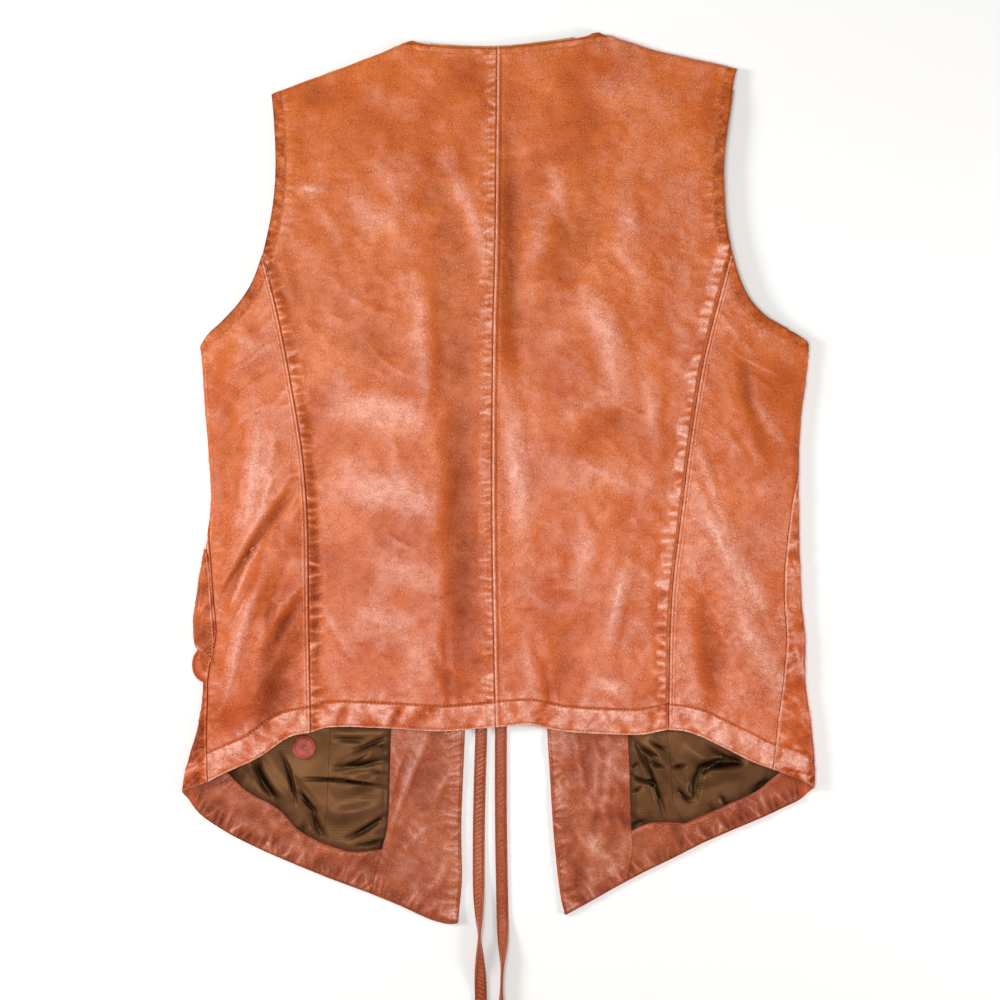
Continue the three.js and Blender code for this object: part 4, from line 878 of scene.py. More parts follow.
NECK_SHARE = 0.4
ARMHOLE_SHARE = 0.75
for side in SIDES:
    name, relief = side["name"], back_relief(side)
    princess, hem = (route(side, key, "back") for key in ("princess", "hem_back"))
    centre = centre_seam(side)
    seam_top = shoulder_seam(side, "back")
    neckline = route(side, [*side["neckline"], (seam_top[0, 1], seam_top[0, 0])], "back")
    armhole = route(side, [*side["armhole_upper"][:-1], (seam_top[-1, 1], seam_top[-1, 0])], "back")
    upper = two_lines(neckline, seam_top, NECK_SHARE)
    outer_side = two_lines(princess[::-1], armhole, ARMHOLE_SHARE)
    shell(
        name + "_back", "back_" + name, side, patch(hem, upper, centre[::-1], outer_side),
        spaced(165, 0.8, 2.6, 14), spaced(550, 0.7, 1.05, 24), relief, behind_waves(side, LEATHER),
        tan_leather,
    )
    rows = [(hem, HEM_BAND), (hem, HEM_EDGE_ROW), (armhole, ARMHOLE_BAND), (neckline, -NECK_BAND)]
    for line, distance in rows + [(centre, CENTRE_ROW)] * (side is LEFT):
        sew(leather_rows, side, line, distance, relief)


def side_relief(side):
    princess, armhole, hem = (route(side, key, "back") for key in ("princess", "armhole_lower", "hem_side"))
    seam = route(side, "side_seam", "inset")

    def relief(spread, y):
        height, shade = soft_relief(side, spread, y)
        off, along = beside(princess, spread, y)
        drawn = 0.5 * puckers(off, along, 53, 24, (5, 12), 0.5)
        height += 0.55 * ridge(off, 1.3, 1.6) + 0.25 * ridge(off, 3.8, 1.2)
        # Painted shade in the princess seam and painted highlights on the raised edge of the side panel
        # beside it.
        shade += 0.5 * ridge(off, 0, 0.6) + 0.4 * ridge(off, 2.7, 0.8)
        shade -= 0.75 * ridge(off, 1.4, 1) + 0.4 * ridge(off, 3.8, 1)
        off, along = beside(seam, spread, y)
        band, band_shade = armhole_relief(armhole, spread, y, (59, 60, 63), 11)
        drawn += 0.6 * puckers(off, along, 57, 10, (3.6, 8)) + band
        shade += 0.2 * ridge(off, 0, 0.7) + band_shade
        hem_height, hem_shade = hem_relief(hem, spread, y, 61)
        return -(height + drawn + hem_height), shade - RUB_AND_PAINTED_LIGHT * drawn + hem_shade

    return relief


for side in SIDES:
    name, relief, seam = side["name"], side_relief(side), route(side, "side_seam", "inset")
    hem = route(side, [*side["hem_side"], (seam[-1, 1], seam[-1, 0])], "back")
    # Under the arm the armhole goes on round the fold to the head of the side seam.
    pit, inset = side["side_seam"][0]
    middle = float(fold_start(side, pit)) + FOLD_LENGTH / 2
    underarm = route(side, [*side["armhole_lower"], (pit + 1.4, middle), (pit, middle - inset)], "back")
    shell(
        name + "_side_back", "side_" + name, side,
        patch(hem, underarm, route(side, "princess", "back")[::-1], seam[::-1]),
        spaced(100, 0.8, 1.9, 14, 20), spaced(400, 0.8, 1.1, 24), relief, behind_waves(side, LEATHER),
        tan_leather,
    )
    armhole = route(side, "armhole_lower", "back")
    for line, distance in ((hem, HEM_BAND), (hem, HEM_EDGE_ROW), (armhole, -ARMHOLE_BAND)):
        sew(leather_rows, side, line, distance, relief)

# Fronts. Each front runs from the side seam round the side fold and lies on the floor, face down, to the
# front edge. Its hem falls to a point, and only its side strip and the edge of that hem show from above.
# Creases where the turned hem comes round the side fold.
FRONT_CREASES = [
    (-252, -234, -233, -221, 1.5, -0.6, 0), (-249, -227, -234, -212, 1.4, -0.5, 1),
    (-247, -218, -230, -211, 1.4, -0.5, 0), (-250, -200, -238, -190, 1.6, 0.5, 1),
    (-247, -180, -236, -168, 1.8, -0.5, 1), (-246, -60, -236, -90, 2, 0.6, 1),
    (216, -229, 255, -237, 1.6, -0.6, 0), (217, -232, 252, -248, 1.6, -0.6, -2),
    (224, -212, 252, -220, 1.6, -0.5, 1), (240, -190, 252, -206, 1.8, 0.5, 1),
    (236, -130, 246, -160, 2, 0.5, 1), (232, -60, 242, -84, 2, -0.5, 1),
]
# How dark each side strip is, and how high its crinkles stand.
STRIPS = {"left": (0.75, 0.3), "right": (0.1, 0.4)}


def hem_round_fold(side):
    """The front's hem from the foot of the side seam round the side fold, to where it lands on the floor."""
    landing = ((side["fold_corner"][0] + side["hem_front"][0][0]) / 2, -FOLD_LENGTH / 2 - 1)
    return route(side, [side["side_seam"][-1], side["fold_corner"], landing], "inset")


def from_centre(side, spread, y):
    """How far from the centre line a point of the underside lies."""
    return 2 * fold_start(side, y) + FOLD_LENGTH - spread


def front_relief(side):
    seam, corner = route(side, "side_seam", "inset"), hem_round_fold(side)
    edge, hem = (route(side, key, "front") for key in ("front_edge", "hem_front"))
    dark, crinkled = STRIPS[side["name"]]

    def relief(spread, y):
        start = fold_start(side, y)
        under = ease((spread - start - FOLD_LENGTH * 0.3) / (FOLD_LENGTH * 0.4))
        off, along = beside(seam, spread, y)
        x = side["sign"] * np.minimum(spread, start + FOLD_RADIUS)
        small = 0.9 * puckers(off, along, 71, 16, (3.2, 6), 0.5, 0.5)
        small += 0.25 * clouds_of_height(spread + 0.5 * y, y, 69, 5, 1.5)
        small += 0.3 * clouds_of_height(spread - 0.7 * y, y, 68, 9)
        small += crinkled * (crinkles(spread + 0.3 * y, y, 66, 7, 1.3) + 0.5 * crinkles(spread, y, 67, 4.5))
        small += 1.2 * fold_height(FRONT_CREASES, x, y)
        hem_height, hem_shade = hem_relief(corner, spread, y, 91)
        height = 0.5 * ridge(off, 1.2, 1.5) + small + hem_height
        # Painted shade in the side seam and the rows of stitches, a painted highlight on the raised edge
        # beside the seam, and painted light on the strip's small relief; the strip is darker all over.
        shade = 0.35 * ridge(off, 0, 0.6) - 0.9 * ridge(off, 1.2, 1.3)
        shade += (dark + hem_shade - 2 * RUB_AND_PAINTED_LIGHT * small) * (1 - under)
        dents = np.zeros(spread.shape)
        for line, seed in ((edge, 73), (hem, 79)):
            off, along = beside(line, spread, y)
            dents += 0.3 * puckers(off, along, seed, 12, (4, 8)) + 0.35 * ridge(off, 2.2, 1)
            shade += 0.6 * ridge(off, 2.2, 0.8)
        dents += 0.18 * (1 + clouds_of_height(spread, y, 13, 22, 1.6))
        return (1 - under) * -height + under * np.minimum(dents, 0.7), shade

    return relief


FRONT_FOLD_SHARE = 0.2
UNDERARM_SHARE = 0.6
for side in SIDES:
    name, relief = side["name"], front_relief(side)
    seam, corner = route(side, "side_seam", "inset"), hem_round_fold(side)
    shoulder = shoulder_seam(side, "front")[::-1]
    ends = (corner[-1], seam[0], shoulder[0], shoulder[-1])
    landed, pit, tip, neck = ((y, float(from_centre(side, spread, y))) for spread, y in ends)
    hem = route(side, [landed, *side["hem_front"]], "front")
    armhole = route(side, [pit, *side["armhole_front"], tip], "front")
    edge, neck_edge = route(side, "front_edge", "front"), route(side, [*side["neck_edge"], neck], "front")
    outer_side = two_lines(seam[::-1], armhole, UNDERARM_SHARE)
    inner_side = two_lines(edge, neck_edge, UNDERARM_SHARE)
    shell(
        name + "_front", "front_" + name, side,
        patch(two_lines(corner, hem, FRONT_FOLD_SHARE), shoulder, outer_side, inner_side),
        spaced(230, 1.1, 4.5, 62, 12), spaced(640, 1.2, 2.0, 12, 12), relief, behind(LEATHER),
        tan_leather,
    )
    for distance in (HEM_BAND, HEM_EDGE_ROW):
        sew(leather_rows, side, corner, distance, relief)

# Front facings. A second layer of the same leather, left matt, sewn inside each front along its front edge
# and neck edge. Its face is up here. The stitching along the front edge draws it into short folds, and it
# has creased freely.
FACING_LEATHER = 1.0
BEHIND_LEATHER = LEATHER + SEAM_GAP
BEHIND_FACING = BEHIND_LEATHER + FACING_LEATHER
FACING_SETBACK = 0.8
FACING_TOP = 300
FACING_ROW = 1.6
FACING_CREASES = [
    (-54, -200, -92, -296, 4.5, 0.8, 2), (-70, -214, -84, -262, 3, -0.6, 2),
    (-40, -300, -60, -336, 5, 0.7, -3), (-52, -276, -78, -300, 4, 0.6, 2),
    (-36, -230, -52, -262, 5, 0.6, 2), (62, -206, 74, -262, 5, 0.8, 3), (78, -214, 70, -280, 6, 0.7, -4),
    (92, -220, 84, -290, 6, 0.6, 3), (60, -282, 92, -306, 5, 0.7, 3), (56, -300, 78, -330, 5, 0.6, -2),
]
FACING_CRUSH = {"left": 0.8, "right": 1.5}


def facing_hem(side, keep):
    """The part of a front's hem on one side of the foot of the facing's seam, set back from the edge."""
    foot = side["facing_edge"][0]
    rows = [(y + FACING_SETBACK, w) for y, w in side["hem_front"]]
    if keep == "front":
        return [foot, *(row for row in rows if row[1] < foot[1])]
    return [*(row for row in rows if row[1] > foot[1]), foot]


def facing_relief(side, edge, hem):
    crushed = FACING_CRUSH[side["name"]]

    def relief(spread, y):
        x = side["sign"] * from_centre(side, spread, y)
        small = 0.5 * clouds_of_height(x, y, 17, 13, 1.5) + 0.3 * crinkles(x + 0.3 * y, y, 18, 8, 1.6)
        small += 0.25 * clouds_of_height(x + 0.4 * y, y, 19, 4.5, 1.4)
        small = crushed * small + fold_height(FACING_CREASES, x, y)
        off, along = beside(edge, spread, y)
        small += 1.5 * puckers(off, along, 83, 14, (3.4, 6), 0.3, 0.4)
        # Painted shade in the rows of stitches and in a band beside the hem, and painted light on the small
        # folds.
        shade = 0.5 * ridge(off, FACING_ROW, 0.7)
        off, along = beside(hem, spread, y)
        small += 1.3 * puckers(off, along, 89, 15, (3.2, 6), 0.4, 0.5)
        shade += 0.2 * ridge(off, FACING_ROW, 0.7) + 0.4 * ridge(off, 4, 8) - 1.3 * RUB_AND_PAINTED_LIGHT * small
        rim = ease(np.minimum(off, 6) / 2)
        return BEHIND_FACING + np.maximum((0.5 + small) * (0.4 + 0.6 * rim), -0.5), shade

    return relief


for side in SIDES:
    name, hem_rows = side["name"], facing_hem(side, "front")
    edge_rows = [*side["front_edge"][1:], *side["neck_edge"][1:-1]]
    top = (FACING_TOP, side["neck_edge"][-1][1] + FACING_SETBACK)
    set_back = [hem_rows[-1], *((y, w + FACING_SETBACK) for y, w in edge_rows), top]
    outlines = (set_back, hem_rows, [side["facing_edge"][-1], top], "facing_edge")
    edge, hem, upper, seam = (route(side, rows, "front") for rows in outlines)
    relief = facing_relief(side, edge, hem)
    shell(
        name + "_front_facing", "facing_" + name, side, patch(hem, upper, seam, edge),
        spaced(70, 0.8, 1.6, 13), spaced(640, 1.0, 3, 165, 4), behind(BEHIND_LEATHER), relief,
        facing_leather, seen="inner",
    )
    for line in (edge, hem):
        sew(facing_rows, side, line, FACING_ROW, relief, 1)


def hem_facing_relief(hem, upper):
    def relief(spread, y):
        off, along = beside(hem, spread, y, 60)
        small = 0.5 * puckers(off, along, 97, 30, (6, 12), 0.35, 0.4)
        small += 0.4 * clouds_of_height(spread, y, 23, 9)
        small += 1.3 * puckers(off, along, 98, 15, (3.2, 5.6), 0.4, 0.5)
        # Darker all over, with painted shade between the short folds at the hem and painted light on what
        # stands up.
        shade = 0.3 + 0.5 * ridge(off, 5, 9)
        off, along = beside(upper, spread, y, 60)
        small += 0.7 * puckers(off, along, 101, 10, (3.2, 7), 0.3)
        return BEHIND_FACING + np.maximum(0.5 + small, -0.5) * ease(0.3 + off / 4), shade - 1.8 * RUB_AND_PAINTED_LIGHT * small

    return relief


for side in SIDES:
    name, hem_rows, upper_rows = side["name"], facing_hem(side, "side"), side["lining_hem"]
    seam_rows = [row for row in side["facing_edge"] if row[0] <= upper_rows[0][0]]
    outlines = (hem_rows, upper_rows, [hem_rows[0], upper_rows[-1]], seam_rows)
    hem, upper, fold_end, seam = (route(side, rows, "front") for rows in outlines)
    relief = hem_facing_relief(hem, upper)
    shell(
        name + "_hem_facing", "hem_facing_" + name, side, patch(hem, upper[::-1], fold_end, seam),
        spaced(180, 1.0, 1.1, 4), spaced(34, 0.8, 1.1, 6), behind(BEHIND_LEATHER), relief,
        facing_leather, seen="inner", skip=3,
    )
    sew(facing_rows, side, hem, FACING_ROW, relief, 1)

# Linings. Olive brown satin, bagged out inside each front in two pieces with a seam up the middle, and sewn
# to the facings. It is cut a little full, so it falls into soft folds that catch the light.
SATIN = 1.0
LINING_CLEARANCE = 0.6
LINING_FOLDS = [
    (-92, -214, -128, -232, 9, 2.4, 0), (-92, -238, -134, -252, 8, 2.0, 0),
    (-94, -262, -136, -270, 8, 1.7, 0), (-144, -266, -186, -226, 9, 2.2, 0),
    (-152, -272, -204, -222, 9, 2.0, 0), (110, -212, 128, -256, 8, 2.2, 0),
    (118, -206, 152, -258, 8, 2.4, 0), (146, -214, 190, -238, 9, 2.2, 0), (152, -244, 206, -226, 9, 2.0, 0),
]
# Sharp folds pressed down into it, in the same form, each with painted shade in its hollow.
LINING_HOLLOWS = [
    (-134, -208, -106, -209, 3.6, -1.6, 0), (-119, -219, -87, -204, 3, -1.8, 1),
    (-137, -232, -86, -223, 4, -1.8, 1), (-125, -229, -102, -219, 2, -1.2, 1),
    (-160, -240, -88, -247, 2.2, -2.6, -2), (-124, -289, -88, -266, 4, -2.4, 2),
    (-117, -294, -91, -288, 2.6, -1.6, 1), (-160, -248, -145, -268, 3.6, -2.6, 1),
    (-196, -222, -174, -258, 6, -3, 4), (-175, -217, -162, -262, 3.2, -3, -2),
    (-180, -262, -158, -286, 4, -2.2, 2), (-104, -234, -88, -236, 1.8, -1.2, 0),
    (-102, -213, -88, -214, 1.8, -1.2, 0), (-150, -262, -138, -290, 5, -1.8, 2),
    (106, -203, 134, -276, 4.6, -2.2, -2), (120, -209, 136, -217, 2.2, -1.8, 1),
    (113, -213, 128, -223, 2.6, -2, 1), (120, -226, 133, -232, 3, -1.8, 0),
    (138, -230, 150, -230, 2.4, -1.9, 0), (104, -237, 127, -244, 3, -2, 1),
    (105, -232, 112, -227, 2, -1.6, 0), (105, -252, 115, -246, 2, -1.6, 0),
    (156, -232, 200, -226, 6.5, -3, -2), (168, -226, 155, -260, 6.5, -2.8, 4),
    (142, -246, 155, -260, 3.2, -2.2, 1), (105, -279, 119, -272, 3.4, -1.6, 0),
    (164, -213, 196, -230, 3, -1.6, 0), (200, -252, 217, -238, 5, -1.8, 0),
    (176, -250, 186, -262, 4, -1.2, 2),
]
# Acetate satin: long smooth floats of thread that shine along the folds, with painted shade that goes almost
# black in them. The threads are 0.2 mm apart on the real cloth, drawn 1.2 mm apart here so that they show.
THREAD_SPACING = 0.0012
WAVE_SCALE = 6.28
DYE_CLOUDS_PER_METRE = 60
lining_satin, tree, surface, place = new_material("brown_satin")
wave = {"Vector": place, "Scale": 1 / THREAD_SPACING / WAVE_SCALE, "Distortion": 0.3, "Detail": 1}
warp = add_node(tree, "ShaderNodeTexWave", wave, "Fac", bands_direction="Y")
dye = {"Vector": place, "Scale": DYE_CLOUDS_PER_METRE, "Detail": 4}
soft = add_node(tree, "ShaderNodeTexNoise", dye, "Fac")
cloth = add_node(tree, "ShaderNodeValToRGB", (soft,), "Color", [(0.3, "#52331d"), (0.7, "#6c4630")])
wear_and_painted_light = add_node(tree, "ShaderNodeAttribute", output="Fac", attribute_name="wear_and_painted_light")
# Painted shade: the cloth darkened towards a near-black brown in its hollows and along its edges.
layers = {0: wear_and_painted_light, 6: cloth, 7: linear("#3a2a1e")}
colour = add_node(tree, "ShaderNodeMix", layers, 2, data_type="RGBA", blend_type="MULTIPLY")
normal = add_node(tree, "ShaderNodeBump", {"Height": warp, "Strength": 0.25, "Distance": 0.0001})
set_inputs(tree, surface, {"Base Color": colour, "Normal": normal, "Roughness": 0.34, "Anisotropic": 0.4})
set_inputs(tree, surface, {"Specular IOR Level": 0.45, "Specular Tint": linear("#d9a468")})
set_inputs(tree, surface, {"Sheen Weight": 0.12, "Sheen Roughness": 0.4, "Sheen Tint": linear("#b98a52")})

LINING_FULLNESS = 2.4
BUTTON_PLACE = (-156, -214.6)
BUTTON_PRESS = (10, 34)


def lining_back(side):
    def depth(spread, y):
        rise = fold_height(LINING_FOLDS, side["sign"] * from_centre(side, spread, y), y)
        return BEHIND_LEATHER + SEAM_GAP + 0.8 * rise

    return depth


def lining_relief(side):
    edges = [route(side, key, "front") for key in ("facing_edge", "lining_hem")]

    def relief(spread, y):
        x = side["sign"] * from_centre(side, spread, y)
        rise = fold_height(LINING_FOLDS, x, y)
        near, free = BUTTON_PRESS
        from_button = np.hypot(x - BUTTON_PLACE[0], y - BUTTON_PLACE[1])
        open_air = ease((-196 - y) / 8) * ease((from_button - near) / (free - near))
        hollows = 1.25 * fold_height(LINING_HOLLOWS, x, y)
        # Painted shade in the hollows, in the small folds along the edges and along the edges themselves.
        shade = 0.05 - 0.46 * hollows
        for line, seed in zip(edges, (113, 127)):
            off, along = beside(line, spread, y)
            drawn = puckers(off, along, seed, 9, (4, 10), 0.5)
            hollows -= 1.2 * drawn
            open_air = open_air * ease(0.15 + off / 7)
            shade += 0.4 * drawn + 0.4 * ridge(off, 0, 3.5)
        full = 0.3 * rise + LINING_FULLNESS + 0.5 * clouds_of_height(x + 0.5 * y, y, 29, 14)
        lifted = np.maximum(open_air * (full + hollows), -rise)
        return BEHIND_LEATHER + SEAM_GAP + SATIN + rise + lifted, np.clip(shade, 0, 1)

    return relief


for side in SIDES:
    meet_y, meet_w = side["lining_seam"][0]
    raised = [(y + LINING_CLEARANCE, w) for y, w in side["lining_hem"]]
    inner_hem = [*(row for row in raised if row[1] < meet_w), (meet_y + LINING_CLEARANCE, meet_w)]
    outer_hem = [row for row in raised if row[1] >= meet_w]
    facing_top, seam_top, side_top = side["lining_top"]
    seam = [inner_hem[-1], *side["lining_seam"][1:]]
    near_facing = [row for row in side["facing_edge"] if inner_hem[0][0] + 1 < row[0] < facing_top[0]]
    facing_side = [inner_hem[0], *near_facing, facing_top]
    side_edge = [outer_hem[-1], (outer_hem[-1][0] + 30, outer_hem[-1][1]), side_top]
    for part, width, edges in (
        ("front", 55, (inner_hem, [seam_top, facing_top], seam, facing_side)),
        ("side", 92, (outer_hem, [side_top, seam_top], side_edge, seam)),
    ):
        name = side["name"] + "_" + part
        bottom, *others = (route(side, rows, "front") for rows in edges)
        shell(
            name + "_lining", "lining_" + name, side, patch(bottom[::-1], *others),
            spaced(width, 0.9, 1.1, 6), spaced(160, 0.9, 1.3, 60, 4), lining_back(side), lining_relief(side),
            lining_satin, seen="inner", skip=3,
        )

# Neck facing and right armhole facing. Narrow strips of pale edge-finished leather inside the back of the
# neck and the right armhole. Each stands a little past the edge of the back, so it shows as a thin light
# line.
FACING_SHOW = 1.3
NECK_FACING_DEPTH = 22
ARMHOLE_FACING_DEPTH = 18
BEHIND_BACK = LEATHER + 0.8
edge_leather = dyed_leather(
    "raw_edged_leather",
    [(0.34, "#b98f68"), (0.47, "#cda985"), (0.58, "#d8bb9c"), (0.7, "#e2cbb2")],
    # The tint towards the hem, the colour of painted shade, and the colour of painted highlights.
    "#fff0ea", "#8a6a5a", "#f0e0d0", 0.6, 0.0,
)
neck_rows = [(w, y) for y, w in RIGHT["neckline"][1:]]
neck_line = smooth_line([*((-w, y) for y, w in LEFT["neckline"][::-1]), *neck_rows])
armhole_line = smooth_line([(w, y) for y, w in (*RIGHT["armhole_upper"][-2:0:-1], *RIGHT["armhole_lower"])])


def trimmed(line, share, t):
    """Points along a line that has lost a share of its length at both ends."""
    return along_line(line, share + (1 - 2 * share) * t)


def neck_sheet(u, v):
    low, high = (trimmed(neck_line, 0.06, u) + (0, up) for up in (-NECK_FACING_DEPTH, FACING_SHOW))
    return low + (high - low) * v[..., None]


def armhole_sheet(u, v):
    places = (shifted(armhole_line, out) for out in (FACING_SHOW, -ARMHOLE_FACING_DEPTH))
    outer, inner = (trimmed(line, 0.035, 1 - v) for line in places)
    return inner + (outer - inner) * u[..., None]


def strip_relief(spread, y):
    # Painted a little darker, and darker still where its ripples sink.
    ripple = 0.12 * clouds_of_height(spread, y, 31, 6)
    return BEHIND_BACK + ripple - broad_relief(RIGHT, spread, y), 0.1 + ripple


# The neck's strip crosses the centre line, so it has no side of its own.
across, down = spaced(125, 1.2, 1.5, 4), spaced(23, 0.7, 1.4, 3)
deep, long = spaced(19, 0.7, 1.4, 3), spaced(250, 1.2, 1.5, 4)
strip_back = behind_waves(RIGHT, BEHIND_BACK + FACING_LEATHER)
shell(
    "back_neck_facing", "neck_facing", None, neck_sheet, across, down, strip_relief, strip_back,
    edge_leather, skip=3,
)
shell(
    "right_armhole_facing", "armhole_facing_right", RIGHT, armhole_sheet, deep, long, strip_relief,
    strip_back, edge_leather, skip=3,
)

# Pocket flap and pocket. The flap is sewn under the left side seam, and its pointed corner shows past the
# seam. The patch pocket lies on the floor side of the front, and its rounded lower corner stands out past
# the side fold.
FLAP_GAP = 0.6
FLAP_LEATHER = 1.3
FLAP_ROW = 2.4
FLAP_SEAM = [(-146.4, 11.6), (-136, 15.4), (-122, 17.6), (-97, 14), (-65, 6.4), (-56, 4)]
FLAP_LOWER = [(-146.4, 11.6), (-133, 1.5), (-124, -12), (-121, -44)]
FLAP_SEWN = [(-56, 4), (-57, -44)]
FLAP_INNER = [(-121, -44), (-57, -44)]
flap_edges = [route(LEFT, rows, "inset") for rows in (FLAP_LOWER, FLAP_SEWN, FLAP_SEAM, FLAP_INNER)]


def flap_relief(spread, y):
    height = 0.45 * clouds_of_height(spread + 0.5 * y, y, 33, 5, 1.6)
    height += 0.25 * clouds_of_height(spread, y, 35, 11, 1.4)
    # Darker all over, with painted highlights where it stands up and on its raised edge, and painted shade in
    # the rows of stitches.
    shade = 0.4 - 0.9 * height
    for edge, seed in ((flap_edges[0], 103), (flap_edges[2], 107)):
        off, along = beside(edge, spread, y)
        height += 0.3 * puckers(off, along, seed, 6, (2.6, 5)) - 0.3 * ridge(off, FLAP_ROW, 0.8)
        height += 0.2 * ridge(off, 0.8, 1)
        shade += 0.5 * ridge(off, FLAP_ROW, 0.7) - 0.6 * ridge(off, 0.8, 1)
    return -FLAP_GAP - FLAP_LEATHER - np.clip(height, -0.5, 0.8), shade


shell(
    "left_pocket_flap", "flap_left", LEFT, patch(*flap_edges),
    spaced(52, 0.8, 1.2, 22, 2), spaced(78, 0.8, 1.0, 6), flap_relief, behind(-FLAP_GAP),
    tan_leather, skip=4,
)
sew(leather_rows, LEFT, flap_edges[0], FLAP_ROW, flap_relief)
sew(leather_rows, LEFT, flap_edges[2], -FLAP_ROW, flap_relief)

POCKET_CORNER = [
    (-241.8, -136.4), (-245.4, -143), (-246.2, -150), (-244.6, -156.8), (-240, -161.8), (-232, -164.8)
]
POCKET_INNER_END = -200
POCKET_BOTTOM = -166
# Rings from the floor up over the rolled edge to the middle: distance in from the outline, height, painted
# shade.
# The dark one is the row of stitches, in painted shade.
POCKET_RINGS = [
    (0.5, 0, 0.15), (0.1, 0.25, 0.15), (0, 0.6, 0.15), (0.15, 1.0, 0.15), (0.6, 1.3, 0.15), (1.3, 1.2, 0.15),
    (2.0, 0.95, 0.9), (2.8, 1.25, 0.15), (5, 1.3, 0.15), (9, 1.25, 0.15),
]
corner_line = smooth_line(POCKET_CORNER, 1.0)
lower_line = np.linspace(corner_line[-1], (POCKET_INNER_END, POCKET_BOTTOM), 30)[1:]
inner_line = np.linspace((POCKET_INNER_END, POCKET_BOTTOM), (POCKET_INNER_END, POCKET_CORNER[0][1]), 22)[1:]
upper_line = np.linspace((POCKET_INNER_END, POCKET_CORNER[0][1]), corner_line[0], 34)[1:-1]
outline = np.vstack([corner_line, lower_line, inner_line, upper_line])
pocket_middle = outline.mean(axis=0)
count = len(outline)
reach = np.linalg.norm(outline - pocket_middle, axis=1)
rng = np.random.default_rng(4)
wobble = np.interp(np.arange(count), np.arange(0, count + 6, 3), rng.uniform(-0.16, 0.16, count // 3 + 2))
points, faces, wear_and_painted_light = [], [], []
for k, (inset, height, dark) in enumerate(POCKET_RINGS):
    flat = pocket_middle + (outline - pocket_middle) * (1 - inset / reach)[:, None]
    points.append(np.column_stack([flat, np.full(count, height) + wobble * (height > 0.7)]))
    wear_and_painted_light += [dark] * count
    low, high = k * count, (k + 1) * count
    faces += [[low + i, high + i, high + (i + 1) % count, low + (i + 1) % count] for i in range(count)]
# The last ring closes on the middle of the pocket, and the first one on a point of the floor under it.
del faces[-count:]
faces += [[low + i, high, low + (i + 1) % count] for i in range(count)]
faces += [[i, (i + 1) % count, high + 1] for i in range(count)]
points.append([(*pocket_middle, 1.2), (*pocket_middle, 0)])
wear_and_painted_light += [0.1, 0.1]
pocket = add_piece("left_pocket", "pocket_left", np.vstack(points), faces, wear_and_painted_light, tan_leather)

# Spare button. A moulded resin button sewn to the left lining, glossy red-brown with streaks, and a dimple
# over its shank. The frame's own solid is kept.
STREAKS_PER_METRE = 140
resin, tree, surface, place = new_material("streaked_resin")
streak = {"Vector": place, "Scale": STREAKS_PER_METRE, "Detail": 2, "Distortion": 0.3}
noise = add_node(tree, "ShaderNodeTexNoise", streak, "Fac")
browns = [(0.3, "#82301f"), (0.5, "#993b29"), (0.7, "#ab4a36")]
streaks = add_node(tree, "ShaderNodeValToRGB", (noise,), "Color", browns)
set_inputs(tree, surface, {"Base Color": streaks, "Roughness": 0.42, "Specular IOR Level": 0.3})
button = bpy.data.objects[next(name for name in frame["nodes"] if "button" in name)]
button.data.materials.clear()
button.data.materials.append(resin)

# Stitches. Waxed tan thread, sunk into the leather in even lockstitch rows: along the hem twice, round the
# armholes and the neck, beside the centre back seam, and along the edges of the facings, the flap and the
# ties.
STITCH = {"Pitch": 2.9, "Length": 2.1, "Width": 0.78, "Height": 0.5}
TWISTS_PER_METRE = 900
lockstitch = bpy.data.node_groups.new("lockstitch", "GeometryNodeTree")
kinds = {"Rows": "NodeSocketGeometry", **dict.fromkeys(STITCH, "NodeSocketFloat")}
kinds["Thread"] = "NodeSocketMaterial"
sockets = {}
for key, kind in kinds.items():
    sockets[key] = lockstitch.interface.new_socket(key, in_out="INPUT", socket_type=kind)
lockstitch.interface.new_socket("Stitches", in_out="OUTPUT", socket_type="NodeSocketGeometry")
given = add_node(lockstitch, "NodeGroupInput").node.outputs
curve = add_node(lockstitch, "GeometryNodeMeshToCurve", {"Mesh": given["Rows"]})
evenly = {"Curve": curve, "Length": given["Pitch"]}
spots = add_node(lockstitch, "GeometryNodeResampleCurve", evenly, mode="LENGTH")
tangent = add_node(lockstitch, "GeometryNodeInputTangent")
turned = add_node(lockstitch, "FunctionNodeAlignRotationToVector", {"Vector": tangent}, axis="X")
upward = {"Rotation": turned, "Vector": (0, 0, 1)}
upright = add_node(lockstitch, "FunctionNodeAlignRotationToVector", upward, axis="Z", pivot_axis="X")
bead = add_node(lockstitch, "GeometryNodeMeshUVSphere", {"Segments": 6, "Rings": 4, "Radius": 0.5})
size = add_node(lockstitch, "ShaderNodeCombineXYZ", (given["Length"], given["Width"], given["Height"]))
stitch = add_node(lockstitch, "GeometryNodeTransform", {"Geometry": bead, "Scale": size})
places = {"Points": spots, "Instance": stitch, "Rotation": upright}
placed = add_node(lockstitch, "GeometryNodeInstanceOnPoints", places)
real = add_node(lockstitch, "GeometryNodeRealizeInstances", {"Geometry": placed})
rounded = add_node(lockstitch, "GeometryNodeSetShadeSmooth", {"Geometry": real})
threaded = add_node(lockstitch, "GeometryNodeSetMaterial", {"Geometry": rounded, "Material": given["Thread"]})
add_node(lockstitch, "NodeGroupOutput", {"Stitches": threaded})
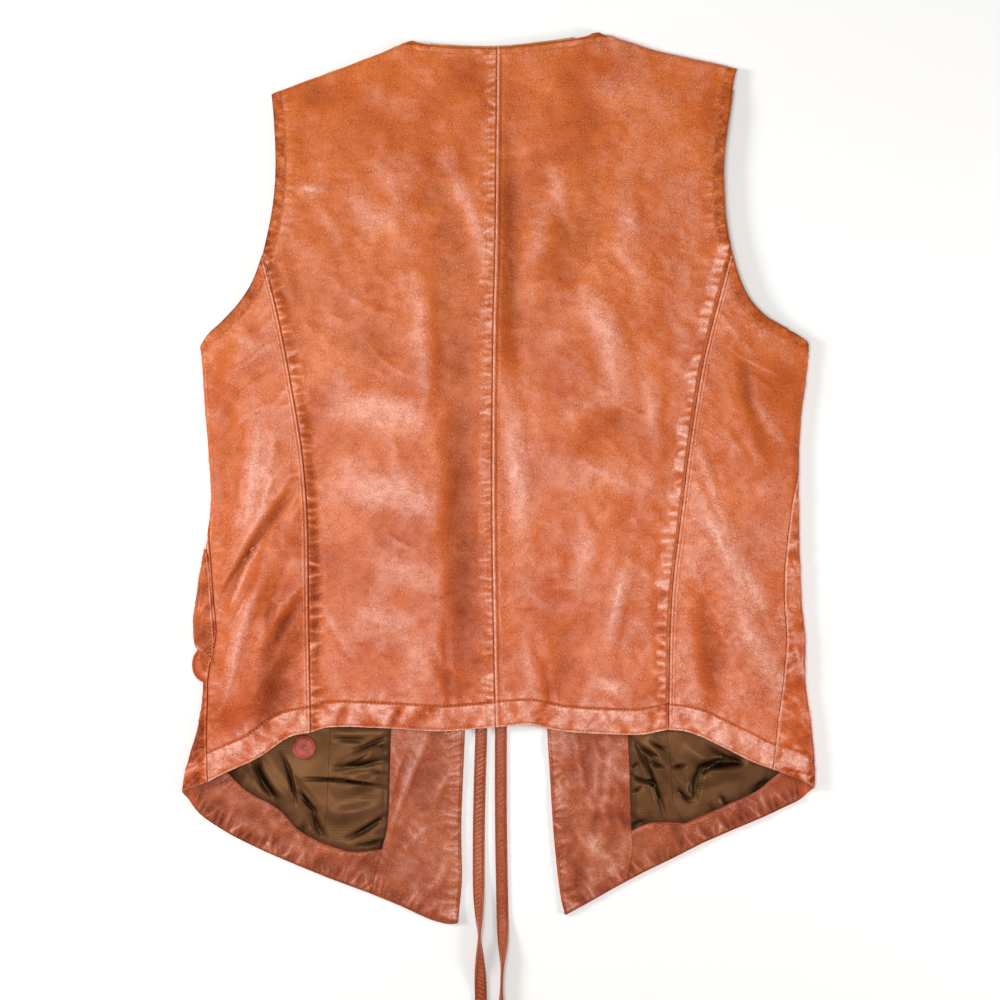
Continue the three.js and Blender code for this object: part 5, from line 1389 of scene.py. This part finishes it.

# Rows: piece, its points, material, colour, and a darker colour of painted shade, which a fine noise scatters
# along the thread. It is twisted polyester with a soft waxed shine.
SEWN = [
    ("leather_stitches", leather_rows, "tan_waxed_thread", "#d08a52", "#8a4822"),
    ("facing_stitches", facing_rows, "pale_waxed_thread", "#a5633f", "#6a3824"),
]
for name, rows, thread_name, colour, shadow in SEWN:
    thread, tree, surface, place = new_material(thread_name)
    strands = {"Vector": place, "Scale": TWISTS_PER_METRE, "Detail": 2}
    twist = add_node(tree, "ShaderNodeTexNoise", strands, "Fac")
    dipped = add_node(tree, "ShaderNodeValToRGB", (twist,), "Color", [(0.35, shadow), (0.6, colour)])
    set_inputs(tree, surface, {"Base Color": dipped, "Roughness": 0.5})
    points = np.vstack(rows)
    points[:, 2] = np.maximum(points[:, 2], STITCH["Height"] / 2)
    ends = np.cumsum([len(row) for row in rows])
    edges = [(i, i + 1) for i in range(len(points) - 1) if i + 1 not in ends]
    guide_mesh = bpy.data.meshes.new(name + "_rows")
    guide_mesh.from_pydata((points * MM).tolist(), edges, [])
    guide = bpy.data.objects.new(name + "_rows", guide_mesh)
    bpy.context.scene.collection.objects.link(guide)
    modifier = guide.modifiers.new("lockstitch", "NODES")
    modifier.node_group = lockstitch
    for key, value in STITCH.items():
        modifier[sockets[key].identifier] = value * MM
    modifier[sockets["Thread"].identifier] = thread
    evaluated = guide.evaluated_get(bpy.context.evaluated_depsgraph_get())
    mesh = bpy.data.meshes.new_from_object(evaluated)
    bpy.data.objects.remove(guide)
    piece = bpy.data.objects.new(name, mesh)
    bpy.context.scene.collection.objects.link(piece)
    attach(piece, "root")

# Floor and light. A plain pale floor, one broad soft light over the vest and a smaller one low on each
# side, which rake across the leather and bring out its folds.
floor_mesh = bpy.data.meshes.new("floor")
floor_mesh.from_pydata([(-3, -3, 0), (3, -3, 0), (3, 3, 0), (-3, 3, 0)], [], [(0, 1, 2, 3)])
floor_material = bpy.data.materials.new("pale_floor")
floor_material.use_nodes = True
tree = floor_material.node_tree
set_inputs(tree, tree.nodes["Principled BSDF"], {"Base Color": linear("#f7f6f4"), "Roughness": 0.9})
floor_mesh.materials.append(floor_material)
floor = bpy.data.objects.new("floor", floor_mesh)
floor.location.z = -0.0002
bpy.context.scene.collection.objects.link(floor)

# Rows: name, watts, size across, and place. All face the middle of the vest.
LIGHTS = [
    ("key", 24, 1.0, (-0.3, 0, 2.2)),
    ("rake_left", 17, 0.5, (-1.4, 0.3, 0.85)),
    ("rake_right", 9, 0.5, (1.35, -0.3, 0.8)),
]
for name, watts, size, location in LIGHTS:
    light_data = bpy.data.lights.new(name, "AREA")
    light_data.energy = watts
    light_data.shape = "DISK"
    light_data.size = size
    light = bpy.data.objects.new(name, light_data)
    light.location = location
    light.rotation_euler = (Vector((0, 0, 0)) - Vector(location)).to_track_quat("-Z", "Y").to_euler()
    bpy.context.scene.collection.objects.link(light)

world = bpy.data.worlds.new("studio")
world.use_nodes = True
world.node_tree.nodes["Background"].inputs["Color"].default_value = linear("#ffffff")
world.node_tree.nodes["Background"].inputs["Strength"].default_value = 0.22
bpy.context.scene.world = world
bpy.context.scene.view_settings.view_transform = "Standard"
